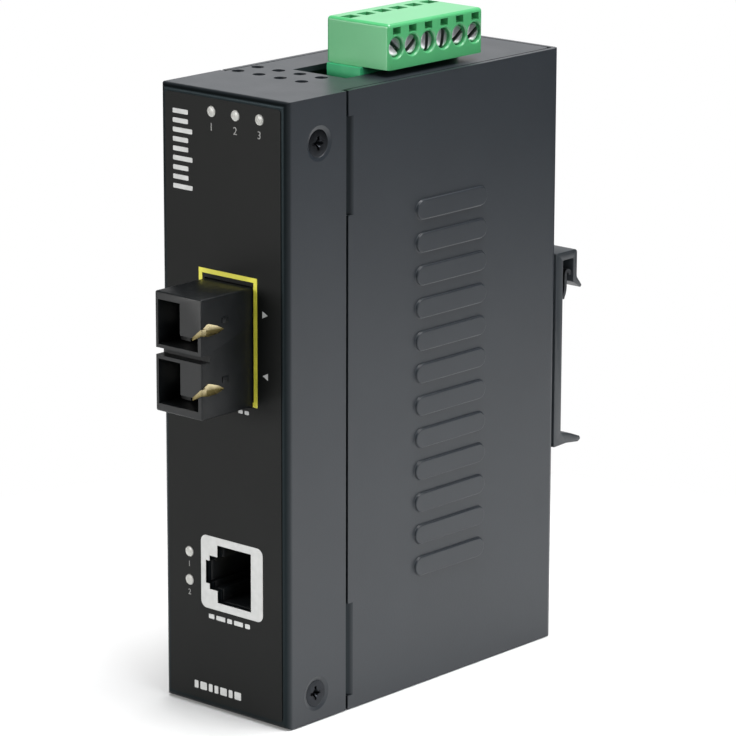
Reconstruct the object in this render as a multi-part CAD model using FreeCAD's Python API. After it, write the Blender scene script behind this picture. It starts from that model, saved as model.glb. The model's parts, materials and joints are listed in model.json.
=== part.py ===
import FreeCAD, Part
import math
import os

# A fibre media converter: two fibre ports and one network jack on the front of a narrow folded steel
# case, a pull-off terminal plug on top, and a clip for a 35 mm rail on the back.
# Millimetres. Origin: centre of the case's bottom face. +X right, +Y back, +Z up.

Vector = FreeCAD.Vector

# ---- case -------------------------------------------------------------------------------------
case_width = 36.0
case_depth = 88.0
case_height = 135.0
sheet = 1.2                 # steel sheet of both halves of the case
strip_depth = 18.2          # side strips folded back from the front panel
front_bend = 1.3            # outside radius of the bends around the front panel
rear_bend = 1.5             # outside radius of the two bends at the back
side_seam = 0.7             # between the side strips and the cover
seam_gap = 0.35             # between other sheets that meet edge to edge
lap_gap = 0.05              # between pieces that lie on each other
tab_reach = 14.0            # how far the cover's tabs run forward under the strips
joggle_run = 1.6            # length of the step from the cover's side down to a tab
upper_tab = (5.4, 26.5)     # below the case's top
lower_tab = (3.0, 23.8)     # above the case's bottom

# ---- case screws and pressed-in nuts ------------------------------------------------------------
screw_dia = 2.9
screw_head_dia = 5.9
screw_length = 5.0
screw_sink = 0.25           # the heads lie this much below the surface
seat_rim_dia = 7.6          # shallow dimple around a screw head
recess_depth = 1.2
recess_width = 0.6
recess_span = 3.3
nut_dia = 6.0
nut_height = 2.0
nut_bore = 3.1
upper_screw = (9.9, 9.8)    # behind the front face, below the top
lower_screw = (8.9, 6.2)    # behind the front face, above the bottom

# ---- pressed ribs on the right side ---------------------------------------------------------------
rib_count = 12
rib_length = 23.0
rib_width = 4.2
rib_pitch = 7.2
rib_height = 0.6
rib_round = 0.27            # at the foot and at the shoulder of a rib
rib_centre_y = 7.8
rib_drop = 1.0              # their middle below the middle of the case

# ---- vents in top and bottom ----------------------------------------------------------------------
vent_dia = 2.8
vent_pitch = 6.1
vent_columns = 4
vent_rows = 2
vent_side_gap = 3.5         # first column in from the left side
vent_front_gap = 20.0       # first row behind the front face

# ---- front label and print ------------------------------------------------------------------------
label_margin = 1.6
label_film = 0.15
ink = 0.06
outline_width = 16.7
outline_height = 27.7
outline_shift = (-0.15, 1.1)        # its middle from the fibre ports' middle, along X and Z
outline_line = 1.0
jack_border = (18.0, 16.2, 1.6)     # width, height, corner radius
jack_border_shift = 1.0             # its middle right of the mouth's
legend_tall = 1.7
legend_small = 1.3
legend_drop = 4.0           # foot of a numeral below its lamp
legend_small_drop = 3.4
arrow_half = 0.75
bar_gap = 0.6
bars_fibre = (22.2, (1.2, 1.2), 0.8)        # start from the left side, lengths, height
bars_jack = (13.2, (1.6, 2.6, 1.4, 2.6, 1.4), 1.0)
bars_foot = (8.8, (1.1, 1.9, 1.1, 1.1, 1.9, 1.1, 1.9), 1.7)
bars_fibre_drop = 1.9       # foot of the bars below the fibre ports
bars_jack_drop = 10.3       # and below the jack's middle
bars_foot_rise = 3.7

# ---- fibre transceiver ------------------------------------------------------------------------------
fibre_width = 13.4
fibre_height = 25.7
fibre_length = 39.6
fibre_reach = 15.2          # in front of the panel
fibre_rise = 7.7            # its middle, from the main board's component face
fibre_drop = 52.9           # middle of the two ports below the case's top
fibre_pitch = 12.7
port_cutout_gap = 0.2
port_mouth_width = 6.3
port_mouth_height = 9.6
port_left_wall = 0.9
port_right_wall = 1.1
port_step_height = 2.9      # low part of the mouth that runs on to the right wall
port_depth = 13.0
port_gap = 1.6              # slot between the two ports
port_gap_depth = 2.5
sleeve_dia = 3.2
sleeve_bore = 2.5
sleeve_length = 8.0
sleeve_stand = 5.0          # how far the sleeve stands in front of the latch ring
latch_ring = 1.6            # depth of the ring at a port's end
latch_gap = 0.35            # between a hook and the wall
latch_width = 2.8
latch_arm = 0.7             # thickness of a hook
latch_length = 6.5
latch_barb = (1.3, 1.0)     # height and length of its nose
clip_sheet = 0.3            # the gilt leaf's thickness
leaf_length = 5.4
leaf_low = 1.1              # lower edge of the leaf below a port's middle
leaf_peak = 1.2
leaf_inside = 2.0           # from the mouth's main edge to the leaf's inner fold
leaf_hook = 0.25            # height of the hook in the low part of the mouth
optic_dia = 5.0
optic_flange = 0.25         # beyond the can, all round
optic_length = 9.0
optic_wall = 1.2
optic_cover = 1.0
pin_pitch = 2.54
pin_dia = 0.5
pin_count = 9

# ---- network jack -----------------------------------------------------------------------------------
jack_z = 30.6
jack_height = 16.0          # along Z
jack_width = 14.6           # along X, up from the board
jack_length = 21.0
jack_panel_gap = 0.2
jack_depth = 13.5
jack_post_y = 11.5          # behind the jack's front
jack_post_dia = 3.0
jack_post_z = 5.7           # each side of the jack's middle
jack_mouth_gap = 0.4        # the moulding's mouth is this much smaller than the panel's
jack_steps = ((4.0, 13.8, 6.4), (1.7, 4.0, 3.75), (0.6, 1.7, 2.55))    # mouth: from and to, half height
contact_dia = 0.45
contact_pitch = 1.02
contact_count = 8

# ---- lamps --------------------------------------------------------------------------------------------
lamp_dia = 2.3
lamp_hole_gap = 0.1
lamp_proud = 0.3
lamp_length = 6.0
lamp_flange = 3.0
status_lamp_side = 14.3     # middle lamp in from the right side
status_lamp_pitch = 6.8
status_lamp_drop = 4.4      # below the case's top
port_lamp_side = 7.5        # in from the left side
port_lamp_rises = (3.4, -2.9)       # from the jack's middle
lead_dia = 0.5
holder_length = 5.0

# ---- boards ---------------------------------------------------------------------------------------------
board = 1.6
main_board_side = 11.8      # component face in from the left side
main_board_back_gap = 3.0
main_board_front_gap = 2.0
main_board_low = 4.0
top_board_drop = 10.6       # upper face below the case's top
top_board_side_gap = 1.8
top_board_front_side_gap = 4.2
top_board_front_gap = 9.5
top_board_waist = 13.0      # length of the narrow front part, clear of the nuts
top_board_back_gap = 4.8
link_width = 2.55           # the strip that joins the two boards
link_height = 2.5
link_length = 30.0
link_start = 7.64           # behind the terminal header's front end
standoff_dia = 5.4
standoff_bore = 3.1
board_screw_head = 5.5
board_screw_length = 6.0
board_screw_head_height = 2.0
lug_y = 26.0
lug_width = 10.0
lug_height = 11.0
lug_hole_rise = 4.4         # above the main board's lower edge
lug_slit = 0.8              # cut around the lug to fold it up
side_standoff_gap = 6.8     # behind the main board's front edge
lower_standoff_rise = 45.0  # above the main board's lower edge
upper_standoff_drop = 21.75 # below its upper edge
top_standoff_side = 3.5     # in from the top board's sides
top_standoff_end = 7.0      # in from its back edge
front_standoff_gap = 9.3    # behind its front edge

# ---- what the boards carry -----------------------------------------------------------------------
# main board: middle behind the board's front edge, middle above its lower edge or below its upper
# edge, then length along Y, height along Z and thickness
transformer = (32.8, 46.0, 12.5, 18.0, 6.2)
media = (56.8, 48.0, 14.0, 14.0, 1.4)
media_leg = (1.2, 0.35, 0.2)        # length, width, thickness
media_leg_pitch = 0.8
media_legs = 16
memory = (72.0, 48.0, 5.2, 6.0, 1.8)
crystal_can_size = (56.8, 31.0, 11.0, 4.6, 3.4)
small_part = (16.8, 8.0, 1.6, 0.8, 0.6)
small_part_pitch = (3.2, 3.0)
small_part_counts = (10, 3)
inductor = (26.8, 16.75, 10.0, 10.0, 5.4)
inductor_pitch = 14.0
regulator_size = (52.8, 36.75, 9.0, 10.0, 4.4)
regulator_tab = (6.4, 3.0, 1.3)     # middle above the regulator's, height, thickness
capacitor_dia = 8.0
capacitor_tall = 11.5
capacitor_spots = ((54.8, 18.75), (66.8, 18.75), (66.8, 32.75))
capacitor_groove = (2.0, 2.6, 0.3)  # from, to, depth
# under the top board: middle right of the header's, middle behind its front end, then width along
# X, length along Y and depth
relay = (6.45, 7.64, 10.0, 20.0, 10.0)
fuse_size = (8.45, 29.64, 4.0, 8.0, 7.0)
diode = (3.7, -6.36, 2.6, 5.0, 2.3)         # the first one, right of the main board's face
diode_pitch = 5.0
diode_count = 3
part_corner = 0.4           # rounding of a component's upright edges

# ---- terminals ----------------------------------------------------------------------------------------------
pole_count = 6
pole_pitch = 5.08
pole_centre_y = 6.4
header_side = 15.45         # its middle in from the right side
header_width = 9.7
header_wall = 0.75
header_end = 0.8            # beyond the last pole's cell at each end
header_height = 12.0
header_floor = 2.0
header_pin = 1.0
header_pin_height = 8.6
header_pin_tail = 3.9
cutout_left = 4.7           # from the header to the left edge of the case's cut-out
cutout_right = 0.8
cutout_front = 5.4
cutout_back = 2.4
plug_fit = 0.2              # around the plug's skirt in the header
plug_left = 0.7             # the plug's head beyond the header on the left
plug_width = 17.7
plug_height = 9.8
plug_lift = 0.1             # between the plug's head and the header's rim
well_dia = 4.5
well_depth = 2.5
well_rise = 4.7             # screw axis above the plug head's underside
clamp_head_dia = 4.0
clamp_head = 1.7
clamp_head_sink = 0.5
clamp_shank_dia = 2.4
clamp_slot = 0.7
clamp_slot_depth = 0.8
clamp_slot_turns = (-42.0, 38.0, 86.0, 80.0, 35.0, 33.0)    # degrees, one for each screw
cage_width = 4.2
cage_tall = 4.6
cage_far_wall = 0.9
cage_nut = 2.2
cage_window = 3.7
cage_side = 0.6
cage_play = 0.12
cage_travel = 2.0
cage_start = 2.2            # from the plug's left face to the open cage
running_gap = 0.05
blade = 0.8
blade_width = 2.6
socket_wall = 0.4
socket_length = 7.0
funnel = (3.0, 3.4)         # wire entry, along X and Y
funnel_flare = 0.45
test_hole = 1.5
test_hole_depth = 3.0
test_hole_rise = 8.2

# ---- rail clip --------------------------------------------------------------------------------------------------
clip_side_gap = 0.1         # in from each side of the case
clip_plate = 2.5
clip_low = 44.0
clip_high = 88.6
claw_leg = 1.3
claw_reach = 7.4            # outside of the upper claw, behind the case
claw_roof = 1.9
claw_mouth_z = 80.9
claw_lip = 1.8
claw_lip_drop = 1.4
lower_claw = 2.9
lower_claw_reach = 9.6
lower_claw_drop = 0.3
rail_spring_width = 35.0
rail_spring_metal = 0.8
rail_spring_travel = 2.0
rail_spring_gap = 0.35
rail_spring_stand = 1.5     # outside of the front strand from the strip's root
rail_spring_mouth = 2.0     # lower end of the back strand above the claw's mouth
# lower end of the front strand: drops below the claw's mouth, outer edge first, then inner
rail_spring_outer = (0.4, 2.4, 3.6)
rail_spring_inner = (0.2, 1.6, 2.5)
rail_spring_turn = 0.2
clip_screws = ((-10.0, 8.4), (10.0, 8.4), (0.0, 30.0))      # x, above the clip's lower edge
wall_mount_side = 6.0       # in from each side of the case
wall_mount_end = 12.0       # in from its top and bottom

# ---- values worked out from those above ------------------------------------------------------------------------
half_width = case_width / 2
front_y = -case_depth / 2
rear_y = case_depth / 2
strip_end = front_y + strip_depth
cover_front = strip_end + side_seam
inner_half = half_width - sheet
tab_outer = inner_half - lap_gap
plate_half = inner_half - seam_gap
plate_end = rear_y - sheet - seam_gap
under_top = case_height - sheet
label_y = front_y - label_film
vent_xs = [-half_width + vent_side_gap + i * vent_pitch for i in range(vent_columns)]
vent_ys = [front_y + vent_front_gap + j * vent_pitch for j in range(vent_rows)]
rib_centre_z = case_height / 2 - rib_drop
fibre_z = case_height - fibre_drop
main_board_x = -half_width + main_board_side
fibre_x = main_board_x + fibre_rise
fibre_left = fibre_x - fibre_width / 2
fibre_right = fibre_x + fibre_width / 2
fibre_front = front_y - fibre_reach
fibre_back = fibre_front + fibre_length
port_centres = (fibre_z - fibre_pitch / 2, fibre_z + fibre_pitch / 2)
mouth_left = fibre_left + port_left_wall
mouth_right = mouth_left + port_mouth_width
port_axis_x = (mouth_left + mouth_right) / 2
port_end = fibre_front + port_depth
transceiver_board_y = fibre_back - optic_cover - 4.0
jack_front = front_y + sheet + jack_panel_gap
jack_low_x = main_board_x + lap_gap
jack_mouth = [(main_board_x + low, main_board_x + high, half) for low, high, half in jack_steps]
top_board_z = case_height - top_board_drop
top_board_half = inner_half - top_board_side_gap
top_board_half_front = inner_half - top_board_front_side_gap
top_board_front = front_y + sheet + top_board_front_gap
top_board_back = rear_y - sheet - top_board_back_gap
main_board_front = front_y + sheet + main_board_front_gap
main_board_back = rear_y - sheet - main_board_back_gap
main_board_rear_face = main_board_x - board
main_board_high = top_board_z - board - lap_gap
lug_hole_z = main_board_low + lug_hole_rise
status_lamp_z = case_height - status_lamp_drop
status_lamp_x = half_width - status_lamp_side
port_lamp_x = -half_width + port_lamp_side
port_lamp_zs = [jack_z + rise for rise in port_lamp_rises]
pole_ys = [pole_centre_y + (i - (pole_count - 1) / 2) * pole_pitch for i in range(pole_count)]
poles_half = pole_count * pole_pitch / 2
header_x = half_width - header_side
header_left = header_x - header_width / 2
header_right = header_x + header_width / 2
header_front = pole_centre_y - poles_half - header_end
header_back = pole_centre_y + poles_half + header_end
header_top = top_board_z + header_height
plug_low = header_top + plug_lift
plug_x0 = header_left - plug_left
plug_x1 = plug_x0 + plug_width
well_z = plug_low + well_rise
cage_x = plug_x0 + cage_start
cage_length = cage_far_wall + cage_window + cage_nut
blade_x = cage_x + cage_far_wall + cage_window - blade - 0.3
screw_seat_x = plug_x1 - well_depth
clamp_head_x = plug_x1 - clamp_head_sink - clamp_head
case_screw_spots = ((front_y + upper_screw[0], case_height - upper_screw[1]),
                    (front_y + lower_screw[0], lower_screw[1]))
tab_ranges = ((case_height - upper_tab[1], case_height - upper_tab[0]), lower_tab)
wall_mount_spots = [(side * (half_width - wall_mount_side), z) for side in (-1, 1)
                    for z in (wall_mount_end, case_height - wall_mount_end)]
clip_half = half_width - clip_side_gap
clip_screw_spots = [(x, clip_low + rise) for x, rise in clip_screws]
side_standoff_y = main_board_front + side_standoff_gap
side_standoff_spots = ((side_standoff_y, main_board_low + lower_standoff_rise),
                       (side_standoff_y, main_board_high - upper_standoff_drop))
top_standoff_x = top_board_half - top_standoff_side
top_standoff_spots = ((top_standoff_x, top_board_back - top_standoff_end),
                      (-top_standoff_x, top_board_back - top_standoff_end),
                      (top_board_half_front - top_standoff_side, top_board_front + front_standoff_gap))


# ---- helpers ---------------------------------------------------------------------------------------------------
def box(x0, x1, y0, y1, z0, z1):
    return Part.makeBox(x1 - x0, y1 - y0, z1 - z0, Vector(x0, y0, z0))


def rod(radius, start, end):
    start, end = Vector(*start), Vector(*end)
    return Part.makeCylinder(radius, (end - start).Length, start, end - start)


def cone(radius_start, radius_end, start, end):
    start, end = Vector(*start), Vector(*end)
    return Part.makeCone(radius_start, radius_end, (end - start).Length, start, end - start)


def slab(points, axis, low, high):
    """A flat outline across an axis, given as pairs, thickened from low to high along that axis."""
    place = {"x": lambda a, b: Vector(low, a, b),
             "y": lambda a, b: Vector(a, low, b),
             "z": lambda a, b: Vector(a, b, low)}[axis]
    along = {"x": Vector(1, 0, 0), "y": Vector(0, 1, 0), "z": Vector(0, 0, 1)}[axis]
    corners = [place(a, b) for a, b in points]
    return Part.Face(Part.makePolygon(corners + corners[:1])).extrude(along * (high - low))


def join(shapes):
    shapes = list(shapes)
    return shapes[0].fuse(shapes[1:]).removeSplitter()


def less(shape, tools):
    return shape.cut(list(tools))


def soften(shape, radius, wanted):
    return shape.makeFillet(radius, [edge for edge in shape.Edges if wanted(edge)])


def runs_along(edge, axis):
    return edge.Curve.TypeId == "Part::GeomLine" and abs(getattr(edge.Curve.Direction, axis)) > 0.999


def tapered(x0, x1, y0, y1, z_low, z_high, flare):
    """A rectangular well that grows by flare on every side from z_low up to z_high."""
    rings = []
    for z, grow in ((z_low, 0.0), (z_high, flare)):
        corners = [Vector(x, y, z) for x, y in ((x0 - grow, y0 - grow), (x1 + grow, y0 - grow),
                                                (x1 + grow, y1 + grow), (x0 - grow, y1 + grow))]
        rings.append(Part.makePolygon(corners + corners[:1]))
    return Part.makeLoft(rings, True, True)


# ---- openings that several sheets share ------------------------------------------------------------------------
def jack_opening(low_y, high_y, shrink=0.0):
    z = jack_z
    steps = []
    for number, (x0, x1, half) in enumerate(jack_mouth):
        left = x0 + shrink
        right = x1 - shrink if number == 0 else jack_mouth[number - 1][0] + 2 * shrink
        steps.append(box(left, right, low_y, high_y, z - half + shrink, z + half - shrink))
    return join(steps)


def fibre_opening(low_y, high_y):
    gap = port_cutout_gap
    return box(fibre_left - gap, fibre_right + gap, low_y, high_y,
               fibre_z - fibre_height / 2 - gap, fibre_z + fibre_height / 2 + gap)


def status_lamp_xs():
    return [status_lamp_x + i * status_lamp_pitch for i in (-1, 0, 1)]


def lamp_spots():
    return [(x, status_lamp_z) for x in status_lamp_xs()] + [(port_lamp_x, z) for z in port_lamp_zs]


def front_openings(low_y, high_y):
    holes = [rod(lamp_dia / 2 + lamp_hole_gap, (x, low_y, z), (x, high_y, z)) for x, z in lamp_spots()]
    return holes + [jack_opening(low_y, high_y), fibre_opening(low_y, high_y)]


# ---- case ------------------------------------------------------------------------------------------------------
def vents(low, high):
    return [rod(vent_dia / 2, (x, y, low), (x, y, high)) for x in vent_xs for y in vent_ys]


def countersink(side, y, z):
    """The conical seat of a case screw in a strip; side is -1 or 1."""
    shank = screw_dia / 2 + lap_gap
    head = screw_head_dia / 2 + lap_gap
    sunk = half_width - screw_sink
    seat_end = sunk - (head - shank)
    dimple = cone(seat_rim_dia / 2, head, (side * half_width, y, z), (side * sunk, y, z))
    seat = cone(head, shank, (side * sunk, y, z), (side * seat_end, y, z))
    hole = rod(shank, (side * (seat_end + lap_gap), y, z), (side * (inner_half - 1), y, z))
    return join([dimple, seat, hole])


def front_chassis():
    outer = soften(box(-half_width, half_width, front_y, strip_end, 0, case_height), front_bend,
                   lambda edge: abs(edge.CenterOfMass.y - front_y) < 0.001)
    tray = outer.cut(box(-inner_half, inner_half, front_y + sheet, strip_end + 1, sheet, under_top))
    plates = [soften(box(-plate_half, plate_half, strip_end - 1, plate_end, z, z + sheet), rear_bend,
                     lambda edge: runs_along(edge, "z") and edge.CenterOfMass.y > plate_end - 1)
              for z in (0, under_top)]
    lug_x = main_board_rear_face - lap_gap
    lug = box(lug_x - sheet, lug_x, lug_y - lug_width / 2, lug_y + lug_width / 2, 0, sheet + lug_height)
    lug_half = lug_width / 2
    window = box(lug_x - sheet - lug_slit, lug_x - sheet, lug_y - lug_half, lug_y + lug_half, -1, sheet + 1)
    lanced = box(lug_x - sheet - lug_height, lug_x - sheet - lug_slit, lug_y - lug_half + lug_slit / 2,
                 lug_y + lug_half - lug_slit / 2, -1, sheet + 1)
    shape = join([tray] + plates + [lug])
    tools = front_openings(front_y - 1, front_y + sheet + 1)
    tools += vents(under_top - 1, case_height + 1) + vents(-1, sheet + 1)
    tools += [countersink(side, y, z) for side in (-1, 1) for y, z in case_screw_spots]
    tools.append(box(header_left - cutout_left, header_right + cutout_right, header_front - cutout_front,
                     header_back + cutout_back, under_top - 1, case_height + 1))
    tools += [window, lanced, rod(nut_bore / 2, (lug_x - 4, lug_y, lug_hole_z), (lug_x + 1, lug_y, lug_hole_z))]
    return less(shape, tools)


def obround(length, width, y, z, low_x, high_x):
    reach = (length - width) / 2
    ends = [rod(width / 2, (low_x, y + way * reach, z), (high_x, y + way * reach, z)) for way in (-1, 1)]
    return join(ends + [box(low_x, high_x, y - reach, y + reach, z - width / 2, z + width / 2)])


def rib_zs():
    return [rib_centre_z + (i - (rib_count - 1) / 2) * rib_pitch for i in range(rib_count)]


def press_ribs(cover):
    """Ribs raised outside and hollow inside, as pressing leaves them, with soft feet and shoulders."""
    top = half_width + rib_height
    raised = [obround(rib_length, rib_width, rib_centre_y, z, half_width - sheet / 2, top) for z in rib_zs()]
    hollow = [obround(rib_length - sheet, rib_width - sheet, rib_centre_y, z, inner_half - 1,
                      inner_half + rib_height) for z in rib_zs()]
    shape = join([cover] + raised)
    near = rib_length / 2 + 1

    def on_a_rib(edge):
        centre = edge.CenterOfMass
        level = abs(centre.x - top) < 0.001 or abs(centre.x - half_width) < 0.001
        return (level and abs(centre.y - rib_centre_y) < near
                and abs(centre.z - rib_centre_z) < rib_count * rib_pitch / 2)
    return less(soften(shape, rib_round, on_a_rib), hollow)


def tab(side, z_low, z_high):
    """One tab of the cover with the sloped step that leads down to it."""
    step_end = cover_front + joggle_run
    inner = tab_outer - sheet
    flat = box(*sorted((side * inner, side * tab_outer)), strip_end - tab_reach, cover_front, z_low, z_high)
    slope = slab([(side * tab_outer, cover_front - 0.01), (side * half_width, step_end),
                  (side * inner_half, step_end), (side * inner, cover_front - 0.01)], "z", z_low, z_high)
    return join([flat, slope])


def rear_cover():
    outer = soften(box(-half_width, half_width, cover_front, rear_y, 0, case_height), rear_bend,
                   lambda edge: runs_along(edge, "z") and edge.CenterOfMass.y > rear_y - 1)
    inner = soften(box(-inner_half, inner_half, cover_front - 5, rear_y - sheet, -1, case_height + 1),
                   rear_bend - sheet,
                   lambda edge: runs_along(edge, "z") and edge.CenterOfMass.y > rear_y - sheet - 1)
    step_end = cover_front + joggle_run
    notches = [box(-half_width - 1, half_width + 1, cover_front - 1, step_end, low, high)
               for low, high in tab_ranges]
    tabs = [tab(side, low, high) for side in (-1, 1) for low, high in tab_ranges]
    shape = press_ribs(join([less(outer.cut(inner), notches)] + tabs))
    holes = [rod(nut_bore / 2, (-half_width, y, z), (half_width, y, z)) for y, z in case_screw_spots]
    holes += [rod(nut_bore / 2, (x, rear_y - 3, z), (x, rear_y + 1, z))
              for x, z in wall_mount_spots + clip_screw_spots]
    seats = [cone(nut_bore / 2 + 1.5, nut_bore / 2, (side * (tab_outer + 1), y, z),
                  (side * (tab_outer - 0.5), y, z)) for side in (-1, 1) for y, z in case_screw_spots]
    return less(shape, holes + seats)


def case_screw(side, y, z):
    """A countersunk screw with a cross recess, its head flush with a side strip."""
    head, shank = screw_head_dia / 2, screw_dia / 2
    flush = half_width - screw_sink
    shape = join([cone(head, shank, (side * flush, y, z), (side * (flush - head + shank), y, z)),
                  rod(shank, (side * (flush - 0.5), y, z), (side * (flush - screw_length), y, z))])
    deep, span = recess_depth, recess_span / 2
    low, high = sorted((side * (flush - deep), side * (flush + 1)))
    cross = [box(low, high, y - recess_width / 2, y + recess_width / 2, z - span, z + span),
             box(low, high, y - span, y + span, z - recess_width / 2, z + recess_width / 2)]
    point = cone(span * 0.7, 0.3, (side * (flush + 0.01), y, z), (side * (flush - deep), y, z))
    return less(shape, cross + [point])


def case_screws():
    return [case_screw(side, y, z) for side in (-1, 1) for y, z in case_screw_spots]


def nut(start, direction):
    """A round pressed-in nut whose seat is at start and whose body runs along direction."""
    start, direction = Vector(*start), Vector(*direction)
    body = Part.makeCylinder(nut_dia / 2, nut_height, start, direction)
    return body.cut(Part.makeCylinder(nut_bore / 2, nut_height + 2, start - direction, direction))


def pressed_nuts():
    tab_inner = tab_outer - sheet - lap_gap
    nuts = [nut((side * tab_inner, y, z), (-side, 0, 0)) for side in (-1, 1) for y, z in case_screw_spots]
    back = rear_y - sheet - lap_gap
    nuts += [nut((x, back, z), (0, -1, 0)) for x, z in wall_mount_spots + clip_screw_spots]
    lug_x = main_board_rear_face - lap_gap
    nuts.append(nut((lug_x - sheet - lap_gap, lug_y, lug_hole_z), (-1, 0, 0)))
    return nuts


def insulation_film():
    x = -inner_half + lap_gap
    return box(x, x + 0.25, cover_front + joggle_run + 2, rear_y - sheet - rear_bend, sheet + 6, under_top - 6)


# ---- label and print -------------------------------------------------------------------------------------------
def front_label():
    film = box(-half_width + label_margin, half_width - label_margin, label_y, front_y,
               label_margin, case_height - label_margin)
    film = soften(film, 0.8, lambda edge: runs_along(edge, "y"))
    return less(film, front_openings(label_y - 1, front_y + 1))


def printed(points):
    return slab(points, "y", label_y - ink, label_y)


def bar(x0, x1, z0, z1):
    return printed([(x0, z0), (x1, z0), (x1, z1), (x0, z1)])


def port_outline():
    x, z = fibre_x + outline_shift[0], fibre_z + outline_shift[1]
    x0, x1 = x - outline_width / 2, x + outline_width / 2
    z0, z1 = z - outline_height / 2, z + outline_height / 2
    line = outline_line
    inside = box(x0 + line, x1 - line, label_y - 1, front_y, z0 + line, z1 - line)
    return less(bar(x0, x1, z0, z1), [inside, fibre_opening(label_y - 1, front_y)])


def jack_border_print():
    width, height, corner = jack_border
    centre = (jack_mouth[0][1] + jack_mouth[2][0]) / 2 + jack_border_shift
    border = bar(centre - width / 2, centre + width / 2, jack_z - height / 2, jack_z + height / 2)
    border = soften(border, corner, lambda edge: runs_along(edge, "y"))
    return border.cut(jack_opening(label_y - 1, front_y))


def digit(number, x, z, tall):
    """A plain numeral of straight strokes, as small panel legends are drawn."""
    wide, line = tall * 0.55, tall * 0.16
    strokes = {"top": (0, wide, tall - line, tall), "middle": (0, wide, (tall - line) / 2, (tall + line) / 2),
               "bottom": (0, wide, 0, line), "upper_right": (wide - line, wide, tall / 2, tall),
               "lower_right": (wide - line, wide, 0, tall / 2), "lower_left": (0, line, 0, tall / 2)}
    used = {1: ("upper_right", "lower_right"),
            2: ("top", "upper_right", "middle", "lower_left", "bottom"),
            3: ("top", "upper_right", "middle", "lower_right", "bottom")}[number]
    left = x - wide / 2
    return join([bar(left + strokes[s][0], left + strokes[s][1], z + strokes[s][2], z + strokes[s][3])
                 for s in used])


def legend_marks():
    marks = [digit(i + 1, x, status_lamp_z - legend_drop, legend_tall) for i, x in enumerate(status_lamp_xs())]
    marks += [digit(i + 1, port_lamp_x, z - legend_small_drop, legend_small) for i, z in enumerate(port_lamp_zs)]
    # a plain stack of bars stands at the upper left corner of the panel
    left = -half_width + label_margin + 2.2
    for i in range(9):
        low = case_height - 22.0 + i * 2.0
        marks.append(bar(left, left + (4.4 if i % 3 else 5.6), low, low + 1.0))
    # arrows for the two fibre directions: one out, one in
    arrow_x = fibre_right + 3.5
    for z, way in ((port_centres[1] + 1.2, 1), (port_centres[0] + 0.8, -1)):
        tail, tip = arrow_x - way * arrow_half, arrow_x + way * arrow_half
        marks.append(printed([(tail, z - arrow_half), (tip, z), (tail, z + arrow_half)]))
    # short plain bars under the fibre ports, under the jack and at the foot of the panel
    rows = ((bars_fibre, fibre_z - fibre_height / 2 - bars_fibre_drop), (bars_jack, jack_z - bars_jack_drop),
            (bars_foot, bars_foot_rise))
    for (start, lengths, tall), z in rows:
        start -= half_width
        for length in lengths:
            marks.append(bar(start, start + length, z, z + tall))
            start += length + bar_gap
    return marks


# ---- fibre transceiver -------------------------------------------------------------------------------------------
def fibre_housing():
    low, high = fibre_z - fibre_height / 2, fibre_z + fibre_height / 2
    body = soften(box(fibre_left, fibre_right, fibre_front, fibre_back, low, high), 0.4,
                  lambda edge: runs_along(edge, "y"))
    tools = [box(fibre_left - 1, fibre_right + 1, fibre_front - 1, fibre_front + port_gap_depth,
                 fibre_z - port_gap / 2, fibre_z + port_gap / 2)]
    for z in port_centres:
        mouth_low = z - port_mouth_height / 2
        tools.append(box(mouth_left, mouth_right, fibre_front - 1, port_end, mouth_low, mouth_low + port_mouth_height))
        tools.append(box(mouth_right - 1, fibre_right - port_right_wall, fibre_front - 1, port_end - 4,
                         mouth_low, mouth_low + port_step_height))
        # a shallow window in the right wall, behind the metal clip
        tools.append(box(fibre_right - 0.6, fibre_right + 1, fibre_front + 9.0, fibre_front + 12.4, z + 0.4, z + 3.4))
        tools.append(rod(sleeve_dia / 2 + 1.0, (port_axis_x, port_end - 1, z), (port_axis_x, fibre_back - 12, z)))
    tools.append(box(fibre_left + optic_wall, fibre_right - optic_wall, port_end + 4.0, fibre_back + 1,
                     low + optic_wall, high - optic_wall))
    pin_y = transceiver_pin_y()
    tools += [rod(pin_dia / 2 + lap_gap, (fibre_left - 1, pin_y, z), (fibre_left + optic_wall + 1, pin_y, z))
              for z in transceiver_pin_zs()]
    pads = [box(fibre_right - 0.5, fibre_right + 0.25, fibre_front + 6.0, fibre_front + 7.8, z + 0.6, z + 1.8)
            for z in port_centres]
    return less(body, tools).fuse(pads).removeSplitter()


def latch_inserts():
    """In each port: a ring around the sleeve and two springy hooks that hold a plug."""
    pieces = []
    for z in port_centres:
        ring_y = port_end - latch_ring
        ring = box(mouth_left + lap_gap, mouth_right - lap_gap, ring_y, port_end - lap_gap,
                   z - port_mouth_height / 2 + lap_gap, z + port_mouth_height / 2 - lap_gap)
        hooks = []
        x0, x1 = port_axis_x - latch_width / 2, port_axis_x + latch_width / 2
        tip = ring_y - latch_length
        barb_height, barb_length = latch_barb
        for way in (-1, 1):
            outer = z + way * (port_mouth_height / 2 - latch_gap)
            arm = sorted((outer, outer - way * latch_arm))
            hooks.append(box(x0, x1, tip, ring_y + lap_gap, *arm))
            barb = sorted((outer, outer - way * barb_height))
            hooks.append(box(x0, x1, tip, tip + barb_length, *barb))
        piece = join([ring] + hooks)
        bore = rod(sleeve_dia / 2 + lap_gap, (port_axis_x, ring_y - 1, z), (port_axis_x, port_end + 1, z))
        pieces.append(piece.cut(bore))
    return pieces


def alignment_sleeves():
    start = port_end - latch_ring - sleeve_stand
    return [rod(sleeve_dia / 2, (port_axis_x, start, z), (port_axis_x, start + sleeve_length, z)).cut(
        rod(sleeve_bore / 2, (port_axis_x, start - 1, z), (port_axis_x, start + sleeve_length + 1, z)))
        for z in port_centres]


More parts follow.
